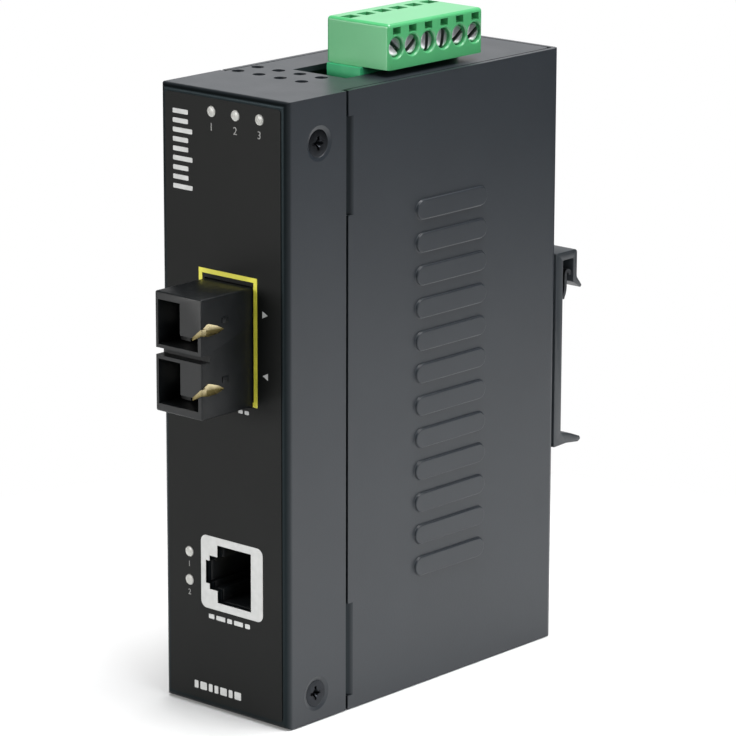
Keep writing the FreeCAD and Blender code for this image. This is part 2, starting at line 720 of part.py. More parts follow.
def port_clips():
    """A pointed leaf outside the right wall of each port, hooked around the wall's front edge."""
    pieces = []
    face = fibre_front - lap_gap
    out = fibre_right + lap_gap
    inside = mouth_right + leaf_inside
    for z in port_centres:
        leaf = slab([(face, z - leaf_low), (face, z), (face + 1.7, z + leaf_peak), (face + leaf_length - 0.6, z + 0.3),
                     (face + leaf_length, z - 0.1), (face + leaf_length - 1.2, z - 0.6), (face + 0.6, z - leaf_low)],
                    "x", out, out + clip_sheet)
        fold_low = z - port_mouth_height / 2 + port_step_height - leaf_hook
        fold = box(inside, out + clip_sheet, face - clip_sheet, face, fold_low, z - leaf_low + 0.3)
        hook = box(inside, inside + clip_sheet, face - 0.1, face + 2.0, fold_low, fold_low + leaf_hook - lap_gap)
        bend = box(out, out + clip_sheet, face - clip_sheet, face + 0.2, z - leaf_low, z - leaf_low + 0.5)
        pieces.append(join([leaf, bend, fold, hook]))
    return pieces


def optic_can(z):
    start = port_end + 4.2
    nose = rod(sleeve_bore / 2 - lap_gap, (port_axis_x, port_end, z), (port_axis_x, start + 0.2, z))
    can = rod(optic_dia / 2, (port_axis_x, start, z), (port_axis_x, start + optic_length, z))
    flange = rod(optic_dia / 2 + optic_flange, (port_axis_x, start + 1.2, z), (port_axis_x, start + 2.2, z))
    leads = [rod(lead_dia / 2, (port_axis_x + dx, start + optic_length - 0.1, z + dz),
                 (port_axis_x + dx, start + optic_length + 2.0, z + dz))
             for dx, dz in ((-1.0, -1.0), (1.0, -1.0), (0.0, 1.2))]
    return join([nose, can, flange] + leads)


def transceiver_board():
    return box(fibre_left + optic_wall + 0.2, fibre_right - optic_wall - 0.2, transceiver_board_y,
               transceiver_board_y + 1.0, fibre_z - fibre_height / 2 + optic_wall + 0.2,
               fibre_z + fibre_height / 2 - optic_wall - 0.2)


def transceiver_cover():
    return box(fibre_left + optic_wall + 0.1, fibre_right - optic_wall - 0.1, fibre_back - optic_cover, fibre_back,
               fibre_z - fibre_height / 2 + optic_wall + 0.1, fibre_z + fibre_height / 2 - optic_wall - 0.1)


def transceiver_pin_zs():
    return [fibre_z + (i - (pin_count - 1) / 2) * pin_pitch for i in range(pin_count)]


def transceiver_pin_y():
    return transceiver_board_y + 2.2


def transceiver_pins():
    y = transceiver_pin_y()
    return [rod(pin_dia / 2, (fibre_left + optic_wall + 1.5, y, z), (main_board_rear_face - 1.2, y, z))
            for z in transceiver_pin_zs()]


# ---- network jack --------------------------------------------------------------------------------------------------
def jack_post_spots():
    return [(jack_front + jack_post_y, jack_z + way * jack_post_z) for way in (-1, 1)]


def jack_housing():
    back = jack_front + jack_length
    body = soften(box(jack_low_x, jack_low_x + jack_width, jack_front, back,
                      jack_z - jack_height / 2, jack_z + jack_height / 2), 0.4, lambda edge: runs_along(edge, "y"))
    grooves = [box(jack_mouth[0][1] - 3.2, jack_mouth[0][1] - 0.2, jack_front + 4.0, jack_front + jack_depth + 3.0,
                   z - 0.35, z + 0.35) for z in contact_zs()]
    posts = [rod(jack_post_dia / 2, (jack_low_x + 0.2, y, z), (main_board_rear_face - 0.6, y, z))
             for y, z in jack_post_spots()]
    hollow = jack_opening(jack_front - 1, jack_front + jack_depth, jack_mouth_gap)
    return less(body, [hollow] + grooves).fuse(posts).removeSplitter()


def contact_zs():
    return [jack_z + (i - (contact_count - 1) / 2) * contact_pitch for i in range(contact_count)]


def jack_contacts():
    """Springy wires that lean into the jack's mouth from its right wall."""
    right = jack_mouth[0][1]
    pieces = []
    for z in contact_zs():
        root = (right - 0.9, jack_front + 5.0, z)
        tip = (right - 3.9, jack_front + jack_depth - 1.5, z)
        back = (right - 0.9, jack_front + jack_depth + 2.5, z)
        radius = contact_dia / 2
        pieces.append(join([rod(radius, root, tip), Part.makeSphere(radius, Vector(*root)), rod(radius, root, back)]))
    return pieces


# ---- lamps -----------------------------------------------------------------------------------------------------------
def lamp(x, z):
    front = label_y - lamp_proud
    body = rod(lamp_dia / 2, (x, front, z), (x, front + lamp_length, z))
    body = soften(body, 0.5, lambda edge: abs(edge.CenterOfMass.y - front) < 0.001)
    flange = rod(lamp_flange / 2, (x, front + lamp_length - 1.0, z), (x, front + lamp_length, z))
    return join([body, flange])


lamp_back = label_y - lamp_proud + lamp_length + lap_gap


def status_lamps():
    return [lamp(x, status_lamp_z) for x in status_lamp_xs()]


def status_lamp_holder():
    xs = status_lamp_xs()
    reach = lamp_flange / 2 + 0.3
    return box(xs[0] - reach, xs[-1] + reach, lamp_back, lamp_back + holder_length,
               top_board_z + lap_gap, status_lamp_z + lamp_flange / 2)


def port_lamps():
    return [lamp(port_lamp_x, z) for z in port_lamp_zs]


def port_lamp_holders():
    reach = lamp_flange / 2 + 0.3
    return [box(port_lamp_x - reach, main_board_rear_face - lap_gap, lamp_back, lamp_back + holder_length,
                z - reach, z + reach) for z in port_lamp_zs]


# ---- boards and what they carry ------------------------------------------------------------------------------------------
def board_screw_holes():
    spots = list(side_standoff_spots) + [(lug_y, lug_hole_z)]
    return [rod(nut_bore / 2, (main_board_rear_face - 1, y, z), (main_board_x + 1, y, z)) for y, z in spots]


def main_board():
    plate = box(main_board_rear_face, main_board_x, main_board_front, main_board_back, main_board_low, main_board_high)
    holes = [(transceiver_pin_y(), z, pin_dia / 2 + lap_gap) for z in transceiver_pin_zs()]
    holes += [(y, z, jack_post_dia / 2 + lap_gap) for y, z in jack_post_spots()]
    return less(plate, board_screw_holes() + [rod(radius, (main_board_rear_face - 1, y, z), (main_board_x + 1, y, z))
                                              for y, z, radius in holes])


def top_board():
    narrow = box(-top_board_half_front, top_board_half_front, top_board_front,
                 top_board_front + top_board_waist + 1, top_board_z - board, top_board_z)
    wide = box(-top_board_half, top_board_half, top_board_front + top_board_waist, top_board_back,
               top_board_z - board, top_board_z)
    holes = [rod(nut_bore / 2, (x, y, top_board_z - board - 1), (x, y, top_board_z + 1))
             for x, y in top_standoff_spots]
    holes += [rod(header_pin * 0.75, (header_x, y, top_board_z - board - 1), (header_x, y, top_board_z + 1))
              for y in pole_ys]
    return less(join([narrow, wide]), holes)


def board_link():
    """A right-angled strip that joins the two boards along their shared edge."""
    z = top_board_z - board - lap_gap
    x, y = main_board_x + lap_gap, header_front + link_start
    return box(x, x + link_width, y, y + link_length, z - link_height, z)


def side_standoffs():
    start, end = -inner_half + lap_gap, main_board_rear_face - lap_gap
    return [rod(standoff_dia / 2, (start, y, z), (end, y, z)).cut(
        rod(standoff_bore / 2, (start + 1.5, y, z), (end + 1, y, z))) for y, z in side_standoff_spots]


def top_standoffs():
    start, end = top_board_z + lap_gap, under_top - lap_gap
    return [rod(standoff_dia / 2, (x, y, start), (x, y, end)).cut(
        rod(standoff_bore / 2, (x, y, start - 1), (x, y, end - 1.5))) for x, y in top_standoff_spots]


def pan_screw(seat, direction):
    """A pan-headed screw seated at a point, with its shank along direction."""
    seat, direction = Vector(*seat), Vector(*direction)
    head = Part.makeCylinder(board_screw_head / 2, board_screw_head_height, seat, -direction)
    shank = Part.makeCylinder(screw_dia / 2, board_screw_length + 0.1, seat - direction * 0.1, direction)
    return head.fuse(shank).removeSplitter()


def board_screws():
    seats = [((main_board_x + lap_gap, y, z), (-1, 0, 0)) for y, z in side_standoff_spots]
    seats.append(((main_board_x + lap_gap, lug_y, lug_hole_z), (-1, 0, 0)))
    seats += [((x, y, top_board_z - board - lap_gap), (0, 0, 1)) for x, y in top_standoff_spots]
    return [pan_screw(seat, direction) for seat, direction in seats]


def on_main_board(y, z, length, height, thick, lift=lap_gap):
    """A block on the main board's component face, centred at y, z."""
    x = main_board_x + lift
    return box(x, x + thick, y - length / 2, y + length / 2, z - height / 2, z + height / 2)


def near_foot(part):
    """Middle of a piece that is placed from the main board's front and lower edges."""
    return main_board_front + part[0], main_board_low + part[1]


def near_top(part):
    """Middle of a piece that is placed from the main board's front and upper edges."""
    return main_board_front + part[0], main_board_high - part[1]


def softened_part(block, axis, radius=part_corner):
    return soften(block, radius, lambda edge: runs_along(edge, axis))


def signal_transformer():
    return softened_part(on_main_board(*near_foot(transformer), *transformer[2:]), "x")


def media_chip():
    y, z = near_foot(media)
    length, height, thick = media[2:]
    reach, wide, sheet_thick = media_leg
    body = on_main_board(y, z, length, height, thick, lap_gap + sheet_thick / 2)
    legs = []
    for i in range(media_legs):
        shift = (i - (media_legs - 1) / 2) * media_leg_pitch
        legs.append(on_main_board(y, z + shift, length + 2 * reach, wide, sheet_thick))
        legs.append(on_main_board(y + shift, z, wide, height + 2 * reach, sheet_thick))
    return join([body] + legs)


def memory_chip():
    return softened_part(on_main_board(*near_foot(memory), *memory[2:]), "x", part_corner / 2)


def crystal():
    size = crystal_can_size
    return softened_part(on_main_board(*near_foot(size), *size[2:]), "x", size[3] / 3)


def power_inductors():
    y, z = near_top(inductor)
    return [softened_part(on_main_board(y + i * inductor_pitch, z, *inductor[2:]), "x", 3 * part_corner)
            for i in (0, 1)]


def capacitors():
    pieces = []
    radius = capacitor_dia / 2
    groove_from, groove_to, deep = capacitor_groove
    for spot in capacitor_spots:
        y, z = near_top(spot)
        x = main_board_x + lap_gap
        can = rod(radius, (x, y, z), (x + capacitor_tall, y, z))
        can = soften(can, part_corner, lambda edge: edge.CenterOfMass.x > x + capacitor_tall - part_corner)
        ring = rod(radius + 1, (x + groove_from, y, z), (x + groove_to, y, z)).cut(
            rod(radius - deep, (x, y, z), (x + groove_to + 1, y, z)))
        pieces.append(can.cut(ring))
    return pieces


def regulator():
    y, z = near_top(regulator_size)
    length, height, thick = regulator_size[2:]
    rise, tab_height, tab_thick = regulator_tab
    return join([on_main_board(y, z, length, height, thick),
                 on_main_board(y, z + rise, length, tab_height, tab_thick)])


def chip_parts():
    """Small resistors and capacitors in rows beside the chips."""
    y, z = near_foot(small_part)
    columns, rows = small_part_counts
    return [on_main_board(y + i * small_part_pitch[0], z + j * small_part_pitch[1], *small_part[2:])
            for i in range(columns) for j in range(rows)]


def under_top_board(part, from_x):
    """A block under the top board, placed along Y from the terminal header's front end."""
    x, y = from_x + part[0], header_front + part[1]
    wide, long, deep = part[2:]
    z = top_board_z - board - lap_gap
    return box(x - wide / 2, x + wide / 2, y - long / 2, y + long / 2, z - deep, z)


def alarm_relay():
    return softened_part(under_top_board(relay, header_x), "z")


def fuse():
    return softened_part(under_top_board(fuse_size, header_x), "z")


def diodes():
    return [under_top_board(diode, main_board_x + i * diode_pitch) for i in range(diode_count)]


# ---- terminals -------------------------------------------------------------------------------------------------------------
def terminal_header():
    body = soften(box(header_left, header_right, header_front, header_back, top_board_z + lap_gap, header_top), 0.3,
                  lambda edge: runs_along(edge, "z"))
    hollow = box(header_left + header_wall, header_right - header_wall, header_front + header_wall,
                 header_back - header_wall, top_board_z + header_floor, header_top + 1)
    holes = [box(header_x - header_pin / 2 - lap_gap, header_x + header_pin / 2 + lap_gap,
                 y - header_pin / 2 - lap_gap, y + header_pin / 2 + lap_gap,
                 top_board_z - 1, top_board_z + header_floor + 1) for y in pole_ys]
    return less(body, [hollow] + holes)


def header_pins():
    half = header_pin / 2
    return [soften(box(header_x - half, header_x + half, y - half, y + half, top_board_z - header_pin_tail,
                       top_board_z + header_pin_height), 0.2,
                   lambda edge: abs(edge.CenterOfMass.z - top_board_z - header_pin_height) < 0.001)
            for y in pole_ys]


def plug_body():
    head = box(plug_x0, plug_x1, pole_centre_y - poles_half, pole_centre_y + poles_half, plug_low,
               plug_low + plug_height)
    head = soften(head, 0.5, lambda edge: edge.CenterOfMass.z > plug_low + plug_height - 0.01
                  or runs_along(edge, "z"))
    inset = header_wall + plug_fit
    skirt_low = top_board_z + header_floor + 0.4
    skirt = box(header_left + inset, header_right - inset, header_front + inset, header_back - inset,
                skirt_low, plug_low + 0.5)
    shape = join([head, skirt])
    tools = []
    for y in pole_ys:
        wide, tall = cage_width / 2 + cage_play, cage_tall / 2 + cage_play
        tools.append(box(cage_x - 0.2, cage_x + cage_length + cage_travel + 0.2, y - wide, y + wide,
                         well_z - tall, well_z + tall))
        tools.append(rod(well_dia / 2, (screw_seat_x, y, well_z), (plug_x1 + 1, y, well_z)))
        tools.append(rod(clamp_shank_dia / 2 + 0.15, (cage_x + cage_length, y, well_z), (plug_x1, y, well_z)))
        tools.append(box(header_x - 1.45, header_x + 1.45, y - 1.45, y + 1.45, skirt_low - 1, well_z))
        fx = cage_x + cage_far_wall + funnel[0] / 2
        mouth = plug_low + plug_height
        tools.append(box(fx - funnel[0] / 2, fx + funnel[0] / 2, y - funnel[1] / 2, y + funnel[1] / 2, well_z, mouth + 1))
        tools.append(tapered(fx - funnel[0] / 2, fx + funnel[0] / 2, y - funnel[1] / 2, y + funnel[1] / 2,
                             mouth - 1.2, mouth + 0.01, funnel_flare))
        low = plug_low + test_hole_rise - test_hole / 2
        tools.append(box(plug_x1 - test_hole_depth, plug_x1 + 1, y - test_hole / 2, y + test_hole / 2,
                         low, low + test_hole))
    return less(shape, tools)


def plug_contacts():
    """In each pole: a fork that grips the header's pin, and the bar that a wire is clamped against."""
    pieces = []
    inner = header_pin / 2 + running_gap
    outer = inner + socket_wall
    low = top_board_z + header_floor + 0.8
    top = well_z + cage_tall / 2 - 0.3
    for y in pole_ys:
        fork = box(header_x - outer, header_x + outer, y - outer, y + outer, low, low + socket_length)
        fork = less(fork, [box(header_x - inner, header_x + inner, y - inner, y + inner, low - 1, low + socket_length + 1),
                           box(header_x - 0.3, header_x + 0.3, y - outer - 1, y + outer + 1, low - 1, low + 4.0)])
        strip = box(blade_x, blade_x + blade, y - blade_width / 2, y + blade_width / 2, low + socket_length - 1.5, top)
        root = box(header_x + inner, blade_x + blade, y - outer, y + outer, low + socket_length - 1.5,
                   low + socket_length - 0.5)
        strip = strip.cut(box(header_x - inner, header_x + inner, y - inner, y + inner, low - 1, low + socket_length + 1))
        pieces.append(join([fork, strip, root]) if root.Volume > 0 else join([fork, strip]))
    return pieces


def clamp_screw(y, turn):
    x = clamp_head_x
    face = x + clamp_head
    head = rod(clamp_head_dia / 2, (x, y, well_z), (face, y, well_z))
    head = soften(head, 0.2, lambda edge: abs(edge.CenterOfMass.x - face) < 0.001)
    shank = rod(clamp_shank_dia / 2, (blade_x + blade + 0.35, y, well_z), (x + 0.1, y, well_z))
    slot = box(face - clamp_slot_depth, face + 1, y - clamp_head_dia, y + clamp_head_dia,
               well_z - clamp_slot / 2, well_z + clamp_slot / 2)
    slot.rotate(Vector(0, y, well_z), Vector(1, 0, 0), turn)
    return join([head, shank]).cut(slot)


def clamp_cage(y):
    """A box around the wire and the contact bar; its thick end is threaded on the screw."""
    wide, tall = cage_width / 2, cage_tall / 2
    frame = box(cage_x, cage_x + cage_length, y - wide, y + wide, well_z - tall, well_z + tall)
    window = box(cage_x + cage_far_wall, cage_x + cage_far_wall + cage_window, y - wide + cage_side,
                 y + wide - cage_side, well_z - tall - 1, well_z + tall + 1)
    thread = rod(clamp_shank_dia / 2 + running_gap, (cage_x + cage_far_wall + 1, y, well_z),
                 (cage_x + cage_length + 1, y, well_z))
    return less(frame, [window, thread])


# ---- rail clip -----------------------------------------------------------------------------------------------------------------
def rail_clip():
    """One extruded profile: a plate, a claw open downwards at its top and a short claw at its foot."""
    y0 = rear_y + lap_gap
    plate = rear_y + clip_plate
    outer = rear_y + claw_reach
    inner = outer - claw_leg
    foot = rear_y + lower_claw_reach
    foot_low = clip_low - lower_claw_drop
    outline = [(y0, clip_low), (plate + 2.0, clip_low + 0.2), (foot - 0.9, foot_low), (foot, foot_low + 0.5),
               (foot - 0.3, foot_low + 1.2), (foot - 3.6, clip_low + lower_claw - 0.7),
               (plate + 0.3, clip_low + lower_claw), (plate, clip_low + lower_claw + 0.3),
               (plate, clip_high - claw_roof), (inner, clip_high - claw_roof),
               (inner, claw_mouth_z + 0.4), (inner + claw_lip + 0.8, claw_mouth_z - claw_lip_drop),
               (outer + claw_lip, claw_mouth_z - claw_lip_drop + 0.5), (outer, claw_mouth_z + 1.3),
               (outer, clip_high - 0.5), (outer - 0.5, clip_high), (y0, clip_high)]
    body = slab(outline, "x", -clip_half, clip_half)
    seats = []
    for x, z in clip_screw_spots:
        head, shank = screw_head_dia / 2 + lap_gap, screw_dia / 2 + lap_gap
        seats.append(cone(head, shank, (x, plate + 0.001, z), (x, plate - head + shank, z)))
        seats.append(rod(shank, (x, rear_y - 1, z), (x, plate - head + shank + 0.2, z)))
    return less(body, seats)


def clip_screws_group():
    pieces = []
    plate = rear_y + clip_plate - lap_gap / 2
    head, shank = screw_head_dia / 2, screw_dia / 2
    span = recess_span / 2
    for x, z in clip_screw_spots:
        shape = join([cone(head, shank, (x, plate, z), (x, plate - head + shank, z)),
                      rod(shank, (x, plate - 0.5, z), (x, plate - screw_length, z))])
        cross = [box(x - recess_width / 2, x + recess_width / 2, plate - recess_depth, plate + 1, z - span, z + span),
                 box(x - span, x + span, plate - recess_depth, plate + 1, z - recess_width / 2, z + recess_width / 2)]
        pieces.append(less(shape, cross))
    return pieces


def rail_spring():
    """A bent strip in the upper claw: the rail's edge pushes its lower loop up."""
    plate = rear_y + clip_plate + rail_spring_gap
    leg = rear_y + claw_reach - claw_leg - rail_spring_gap
    metal = rail_spring_metal
    high = clip_high - claw_roof - rail_spring_travel - rail_spring_gap
    front = plate + rail_spring_stand
    mouth = claw_mouth_z + rail_spring_mouth
    outer = [claw_mouth_z - drop for drop in rail_spring_outer]
    inner = [claw_mouth_z - drop for drop in rail_spring_inner]
    outline = [(plate, outer[2]), (front - rail_spring_turn, outer[1]), (front, outer[0]),
               (front, high - metal), (leg - metal, high - metal), (leg - metal, mouth), (leg, mouth), (leg, high),
               (front - metal, high), (front - metal, inner[0]), (front - metal, inner[1]), (plate, inner[2])]
    return slab(outline, "x", -rail_spring_width / 2, rail_spring_width / 2)


# ---- write one file per piece ------------------------------------------------------------------------------------------------------
def pieces():
    made = {
        "front_chassis": front_chassis(), "rear_cover": rear_cover(), "front_label": front_label(),
        "port_outline_print": port_outline(), "jack_border_print": jack_border_print(),
        "legend_marks": legend_marks(), "case_screws": case_screws(), "pressed_nuts": pressed_nuts(),
        "insulation_film": insulation_film(),
        "fibre_housing": fibre_housing(), "latch_inserts": latch_inserts(),
        "alignment_sleeves": alignment_sleeves(), "port_clips": port_clips(),
        "laser_can": optic_can(port_centres[1]), "receiver_can": optic_can(port_centres[0]),
        "transceiver_board": transceiver_board(), "transceiver_cover": transceiver_cover(),
        "transceiver_pins": transceiver_pins(),
        "jack_housing": jack_housing(), "jack_contacts": jack_contacts(),
        "status_lamps": status_lamps(), "status_lamp_holder": status_lamp_holder(),
        "port_lamps": port_lamps(), "port_lamp_holders": port_lamp_holders(),
        "main_board": main_board(), "top_board": top_board(), "board_link": board_link(),
        "side_standoffs": side_standoffs(), "top_standoffs": top_standoffs(), "board_screws": board_screws(),
        "signal_transformer": signal_transformer(), "media_chip": media_chip(), "memory_chip": memory_chip(),
        "crystal": crystal(), "power_inductors": power_inductors(), "capacitors": capacitors(),
        "regulator": regulator(), "chip_parts": chip_parts(), "alarm_relay": alarm_relay(), "fuse": fuse(),
        "diodes": diodes(),
        "terminal_header": terminal_header(), "header_pins": header_pins(),
        "plug_body": plug_body(), "plug_contacts": plug_contacts(),
        "rail_clip": rail_clip(), "clip_screws": clip_screws_group(), "rail_spring": rail_spring(),
    }
    for number, (y, turn) in enumerate(zip(pole_ys, clamp_slot_turns), 1):
        made["clamp_screw_%d" % number] = clamp_screw(y, turn)
        made["clamp_cage_%d" % number] = clamp_cage(y)
    return made


os.makedirs("parts", exist_ok=True)
for name, shape in pieces().items():
    if isinstance(shape, list):
        shape = Part.makeCompound(shape)
    shape.exportStep("parts/%s.step" % name)
    print("%-22s solids %2d  volume %9.2f mm3" % (name, len(shape.Solids), shape.Volume))
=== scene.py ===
# %% [markdown]
# # A fibre media converter on a pale floor
# The object is a narrow box of folded steel with a fine black powder coat. Its front carries a duplex fibre
# port and a network jack, a green terminal plug sits on top, and a clip for a mounting rail is screwed to its
# back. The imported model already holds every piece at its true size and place, so this lesson does two jobs:
# it gives each surface its finish, and it remodels the pieces whose soft edges, bends and small details a
# plain solid does not show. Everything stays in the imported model's frame, in metres.

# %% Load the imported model
import json
import math

import bmesh
import bpy
from mathutils import Matrix, Vector


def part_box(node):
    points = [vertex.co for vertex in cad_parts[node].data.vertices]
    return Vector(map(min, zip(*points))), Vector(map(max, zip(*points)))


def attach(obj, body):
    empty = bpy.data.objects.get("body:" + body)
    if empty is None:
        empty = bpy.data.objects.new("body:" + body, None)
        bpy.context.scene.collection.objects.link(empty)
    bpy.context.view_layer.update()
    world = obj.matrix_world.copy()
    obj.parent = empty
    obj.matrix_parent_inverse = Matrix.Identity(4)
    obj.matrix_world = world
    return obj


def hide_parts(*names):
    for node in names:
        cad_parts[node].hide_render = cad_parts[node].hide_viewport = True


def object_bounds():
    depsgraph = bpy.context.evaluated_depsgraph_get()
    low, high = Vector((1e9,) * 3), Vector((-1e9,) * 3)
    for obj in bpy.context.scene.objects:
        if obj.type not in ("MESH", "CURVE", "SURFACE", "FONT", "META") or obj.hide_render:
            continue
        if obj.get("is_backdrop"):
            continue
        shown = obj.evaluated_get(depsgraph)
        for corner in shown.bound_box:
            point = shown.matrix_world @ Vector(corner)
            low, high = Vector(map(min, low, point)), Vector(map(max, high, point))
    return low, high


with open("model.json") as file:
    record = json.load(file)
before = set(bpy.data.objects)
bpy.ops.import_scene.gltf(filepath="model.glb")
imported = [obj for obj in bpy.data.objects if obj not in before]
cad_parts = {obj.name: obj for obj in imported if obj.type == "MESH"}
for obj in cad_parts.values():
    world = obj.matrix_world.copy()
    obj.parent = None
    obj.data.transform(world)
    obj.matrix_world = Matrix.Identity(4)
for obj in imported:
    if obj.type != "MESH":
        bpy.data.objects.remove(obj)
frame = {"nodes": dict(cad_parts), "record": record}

scene = bpy.context.scene
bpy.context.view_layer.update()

# %% [markdown]
# The bmesh work below is in millimetres, because the sizes of a connector or a screw are easy to read that
# way. Two helpers read a imported node's box in millimetres, and one turns a finished bmesh into a piece: it
# closes doubles, turns the faces outwards, scales to metres and smooths every edge that is not sharp. Points
# and faces are put in a fixed order, so that every run gives the same mesh. It also hangs the piece on the body
# it rides on, gives it the finish of its slot, or another that is named, and hides the imported nodes it stands
# for.

# %% Work in millimetres
MM = 0.001
SHARP = math.radians(32)
SORT_ALONG = Vector((1.0, 0.7549, 0.5698))


def node_box(node):
    """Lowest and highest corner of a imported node, in millimetres."""
    low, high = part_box(node)
    return low / MM, high / MM


def node_middle(node):
    """X, Y and Z of the box's middle, in millimetres."""
    return [(low + high) / 2 for low, high in zip(*node_box(node))]


def put(name, bm, slot, *nodes, body="case", finish_name=None):
    """A bmesh in millimetres becomes a piece in metres, with the slot's finish unless another is named."""
    bmesh.ops.remove_doubles(bm, verts=bm.verts, dist=0.002)
    bmesh.ops.recalc_face_normals(bm, faces=bm.faces)
    bmesh.ops.scale(bm, vec=(MM, MM, MM), verts=bm.verts)
    bm.verts.sort(key=lambda vert: vert.co.dot(SORT_ALONG))
    bm.faces.sort(key=lambda face: face.calc_center_median().dot(SORT_ALONG))
    mesh = bpy.data.meshes.new(name)
    bm.to_mesh(mesh)
    bm.free()
    mesh.materials.append(FINISHES[finish_name or FINISH_OF_SLOT.get(slot, slot)])
    mesh.polygons.foreach_set("use_smooth", [True] * len(mesh.polygons))
    mesh.set_sharp_from_angle(angle=SHARP)
    piece = bpy.data.objects.new(name, mesh)
    scene.collection.objects.link(piece)
    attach(piece, body)
    if nodes:
        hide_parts(*nodes)
    print("%-20s %6d faces" % (name, len(mesh.polygons)))
    return piece


# %% [markdown]
# Most of the pieces are built from a handful of moves: a block or a rod to start from, soft edges by bevel, a
# flat outline pushed to a thickness, and holes. A hole with crisp walls is easiest as a boolean modifier, whose
# result is read back into a bmesh.

# %% Small modelling moves
def block(bm, low, high):
    """A box between two corners; returns its vertices."""
    low, high = Vector(low), Vector(high)
    made = bmesh.ops.create_cube(bm, size=1.0)["verts"]
    bmesh.ops.scale(bm, vec=high - low, verts=made)
    bmesh.ops.translate(bm, vec=(low + high) / 2, verts=made)
    return made


def rod(bm, start, end, radius, end_radius=None, segments=32):
    """A round bar or cone between two points; returns its vertices."""
    start, end = Vector(start), Vector(end)
    run = end - start
    made = bmesh.ops.create_cone(bm, cap_ends=True, segments=segments, radius1=radius, depth=run.length,
                                 radius2=radius if end_radius is None else end_radius)["verts"]
    bmesh.ops.rotate(bm, matrix=run.to_track_quat("Z", "Y").to_matrix(), verts=made)
    bmesh.ops.translate(bm, vec=(start + end) / 2, verts=made)
    return made


def soften(bm, edges, width, segments=3):
    """Rounds edges by a small bevel."""
    bmesh.ops.bevel(bm, geom=list(edges), offset=width, segments=segments, profile=0.5, affect="EDGES",
                    material=-1, clamp_overlap=True)


def edges_of(verts, wanted=lambda middle, along: True):
    """Edges among these vertices whose middle and direction are wanted."""
    inside = set(verts)
    found = []
    for edge in dict.fromkeys(edge for vert in verts for edge in vert.link_edges):
        a, b = edge.verts
        if a in inside and b in inside and wanted((a.co + b.co) / 2, (b.co - a.co).normalized()):
            found.append(edge)
    return found


def outline_plate(bm, points, push):
    """A flat outline given as corners in space, pushed along a vector; returns its vertices."""
    face = bm.faces.new([bm.verts.new(point) for point in points])
    grown = bmesh.ops.extrude_face_region(bm, geom=[face])["geom"]
    moved = [item for item in grown if isinstance(item, bmesh.types.BMVert)]
    bmesh.ops.translate(bm, vec=push, verts=moved)
    return list(face.verts) + moved


def carved(bm, cutter):
    """The first bmesh less the second, by an exact boolean; both are used up."""
    both = []
    for name, shape in (("solid", bm), ("cutter", cutter)):
        bmesh.ops.recalc_face_normals(shape, faces=shape.faces)
        mesh = bpy.data.meshes.new(name)
        shape.to_mesh(mesh)
        shape.free()
        both.append(bpy.data.objects.new(name, mesh))
        scene.collection.objects.link(both[-1])
    solid, tool = both
    modifier = solid.modifiers.new("cut", "BOOLEAN")
    modifier.operation, modifier.object, modifier.solver = "DIFFERENCE", tool, "EXACT"
    modifier.use_self = True
    bpy.context.view_layer.update()
    result = bmesh.new()
    result.from_object(solid, bpy.context.evaluated_depsgraph_get())
    for part in both:
        mesh = part.data
        bpy.data.objects.remove(part)
        bpy.data.meshes.remove(mesh)
    return result


# %% [markdown]
# ## Finishes
# Every finish is a small tree of nodes on Object coordinates, which are metres in this frame, so a grain of a
# quarter millimetre is a noise scale of four thousand. One function lays down what all of them share: a slow
# drift of tone, a fine grain in the bump and a little play in the gloss. Each real finish then adds what is
# its own, such as brushing on spring steel or the weave under a board's solder mask.

# %% A shared base for the finishes
def fill_in(tree, node, **values):
    """Sets a node's attributes and sockets by name; a value that is itself a socket is linked."""
    for key, value in values.items():
        if hasattr(node, key):
            setattr(node, key, value)
        elif isinstance(value, bpy.types.NodeSocket):
            tree.links.new(value, node.inputs[key.replace("_", " ")])
        else:
            node.inputs[key.replace("_", " ")].default_value = value
    return node


def add(tree, kind, **values):
    return fill_in(tree, tree.nodes.new(kind), **values)


def tree_and_shader(material):
    material.use_nodes = True
    return material.node_tree, material.node_tree.nodes["Principled BSDF"]


def stretched(tree, stretch=(1, 1, 1)):
    """Object coordinates, stretched along the axes."""
    where = add(tree, "ShaderNodeTexCoord").outputs["Object"]
    return add(tree, "ShaderNodeMapping", Vector=where, Scale=stretch).outputs["Vector"]


def noise(tree, scale, detail=2.0, stretch=(1, 1, 1)):
    node = add(tree, "ShaderNodeTexNoise", Scale=scale, Detail=detail, Vector=stretched(tree, stretch))
    return node.outputs["Fac"]


def ramp(tree, value, start, end, first, last):
    """Runs evenly from one number to another between two positions."""
    return add(tree, "ShaderNodeMapRange", Value=value, From_Min=start, From_Max=end, To_Min=first,
               To_Max=last).outputs["Result"]


def spread(tree, value, low, high):
    """Maps the useful middle of a noise to a range."""
    return ramp(tree, value, 0.3, 0.7, low, high)


def maths(tree, operation, *values):
    """One arithmetic step on sockets."""
    node = add(tree, "ShaderNodeMath", operation=operation)
    for value, socket in zip(values, node.inputs):
        tree.links.new(value, socket)
    return node.outputs[0]


def blended(tree, factor, first, second):
    """Two colours mixed by a factor; each is a tuple or a socket."""
    node = add(tree, "ShaderNodeMix", data_type="RGBA", Factor=factor)
    for socket, colour in zip([s for s in node.inputs if s.type == "RGBA"], (first, second)):
        if isinstance(colour, tuple):
            socket.default_value = (*colour, 1.0)
        else:
            tree.links.new(colour, socket)
    return [s for s in node.outputs if s.type == "RGBA"][0]


def roughened(tree, shader, heights, normal=None):
    """Chains bumps, each a height, its depth in millimetres and its strength, into the shader's normal."""
    for height, depth, strength in heights:
        bump = add(tree, "ShaderNodeBump", Height=height, Distance=depth * MM, Strength=strength)
        if normal:
            tree.links.new(normal, bump.inputs["Normal"])
        normal = bump.outputs["Normal"]
    tree.links.new(normal, shader.inputs["Normal"])


FINISHES = {}


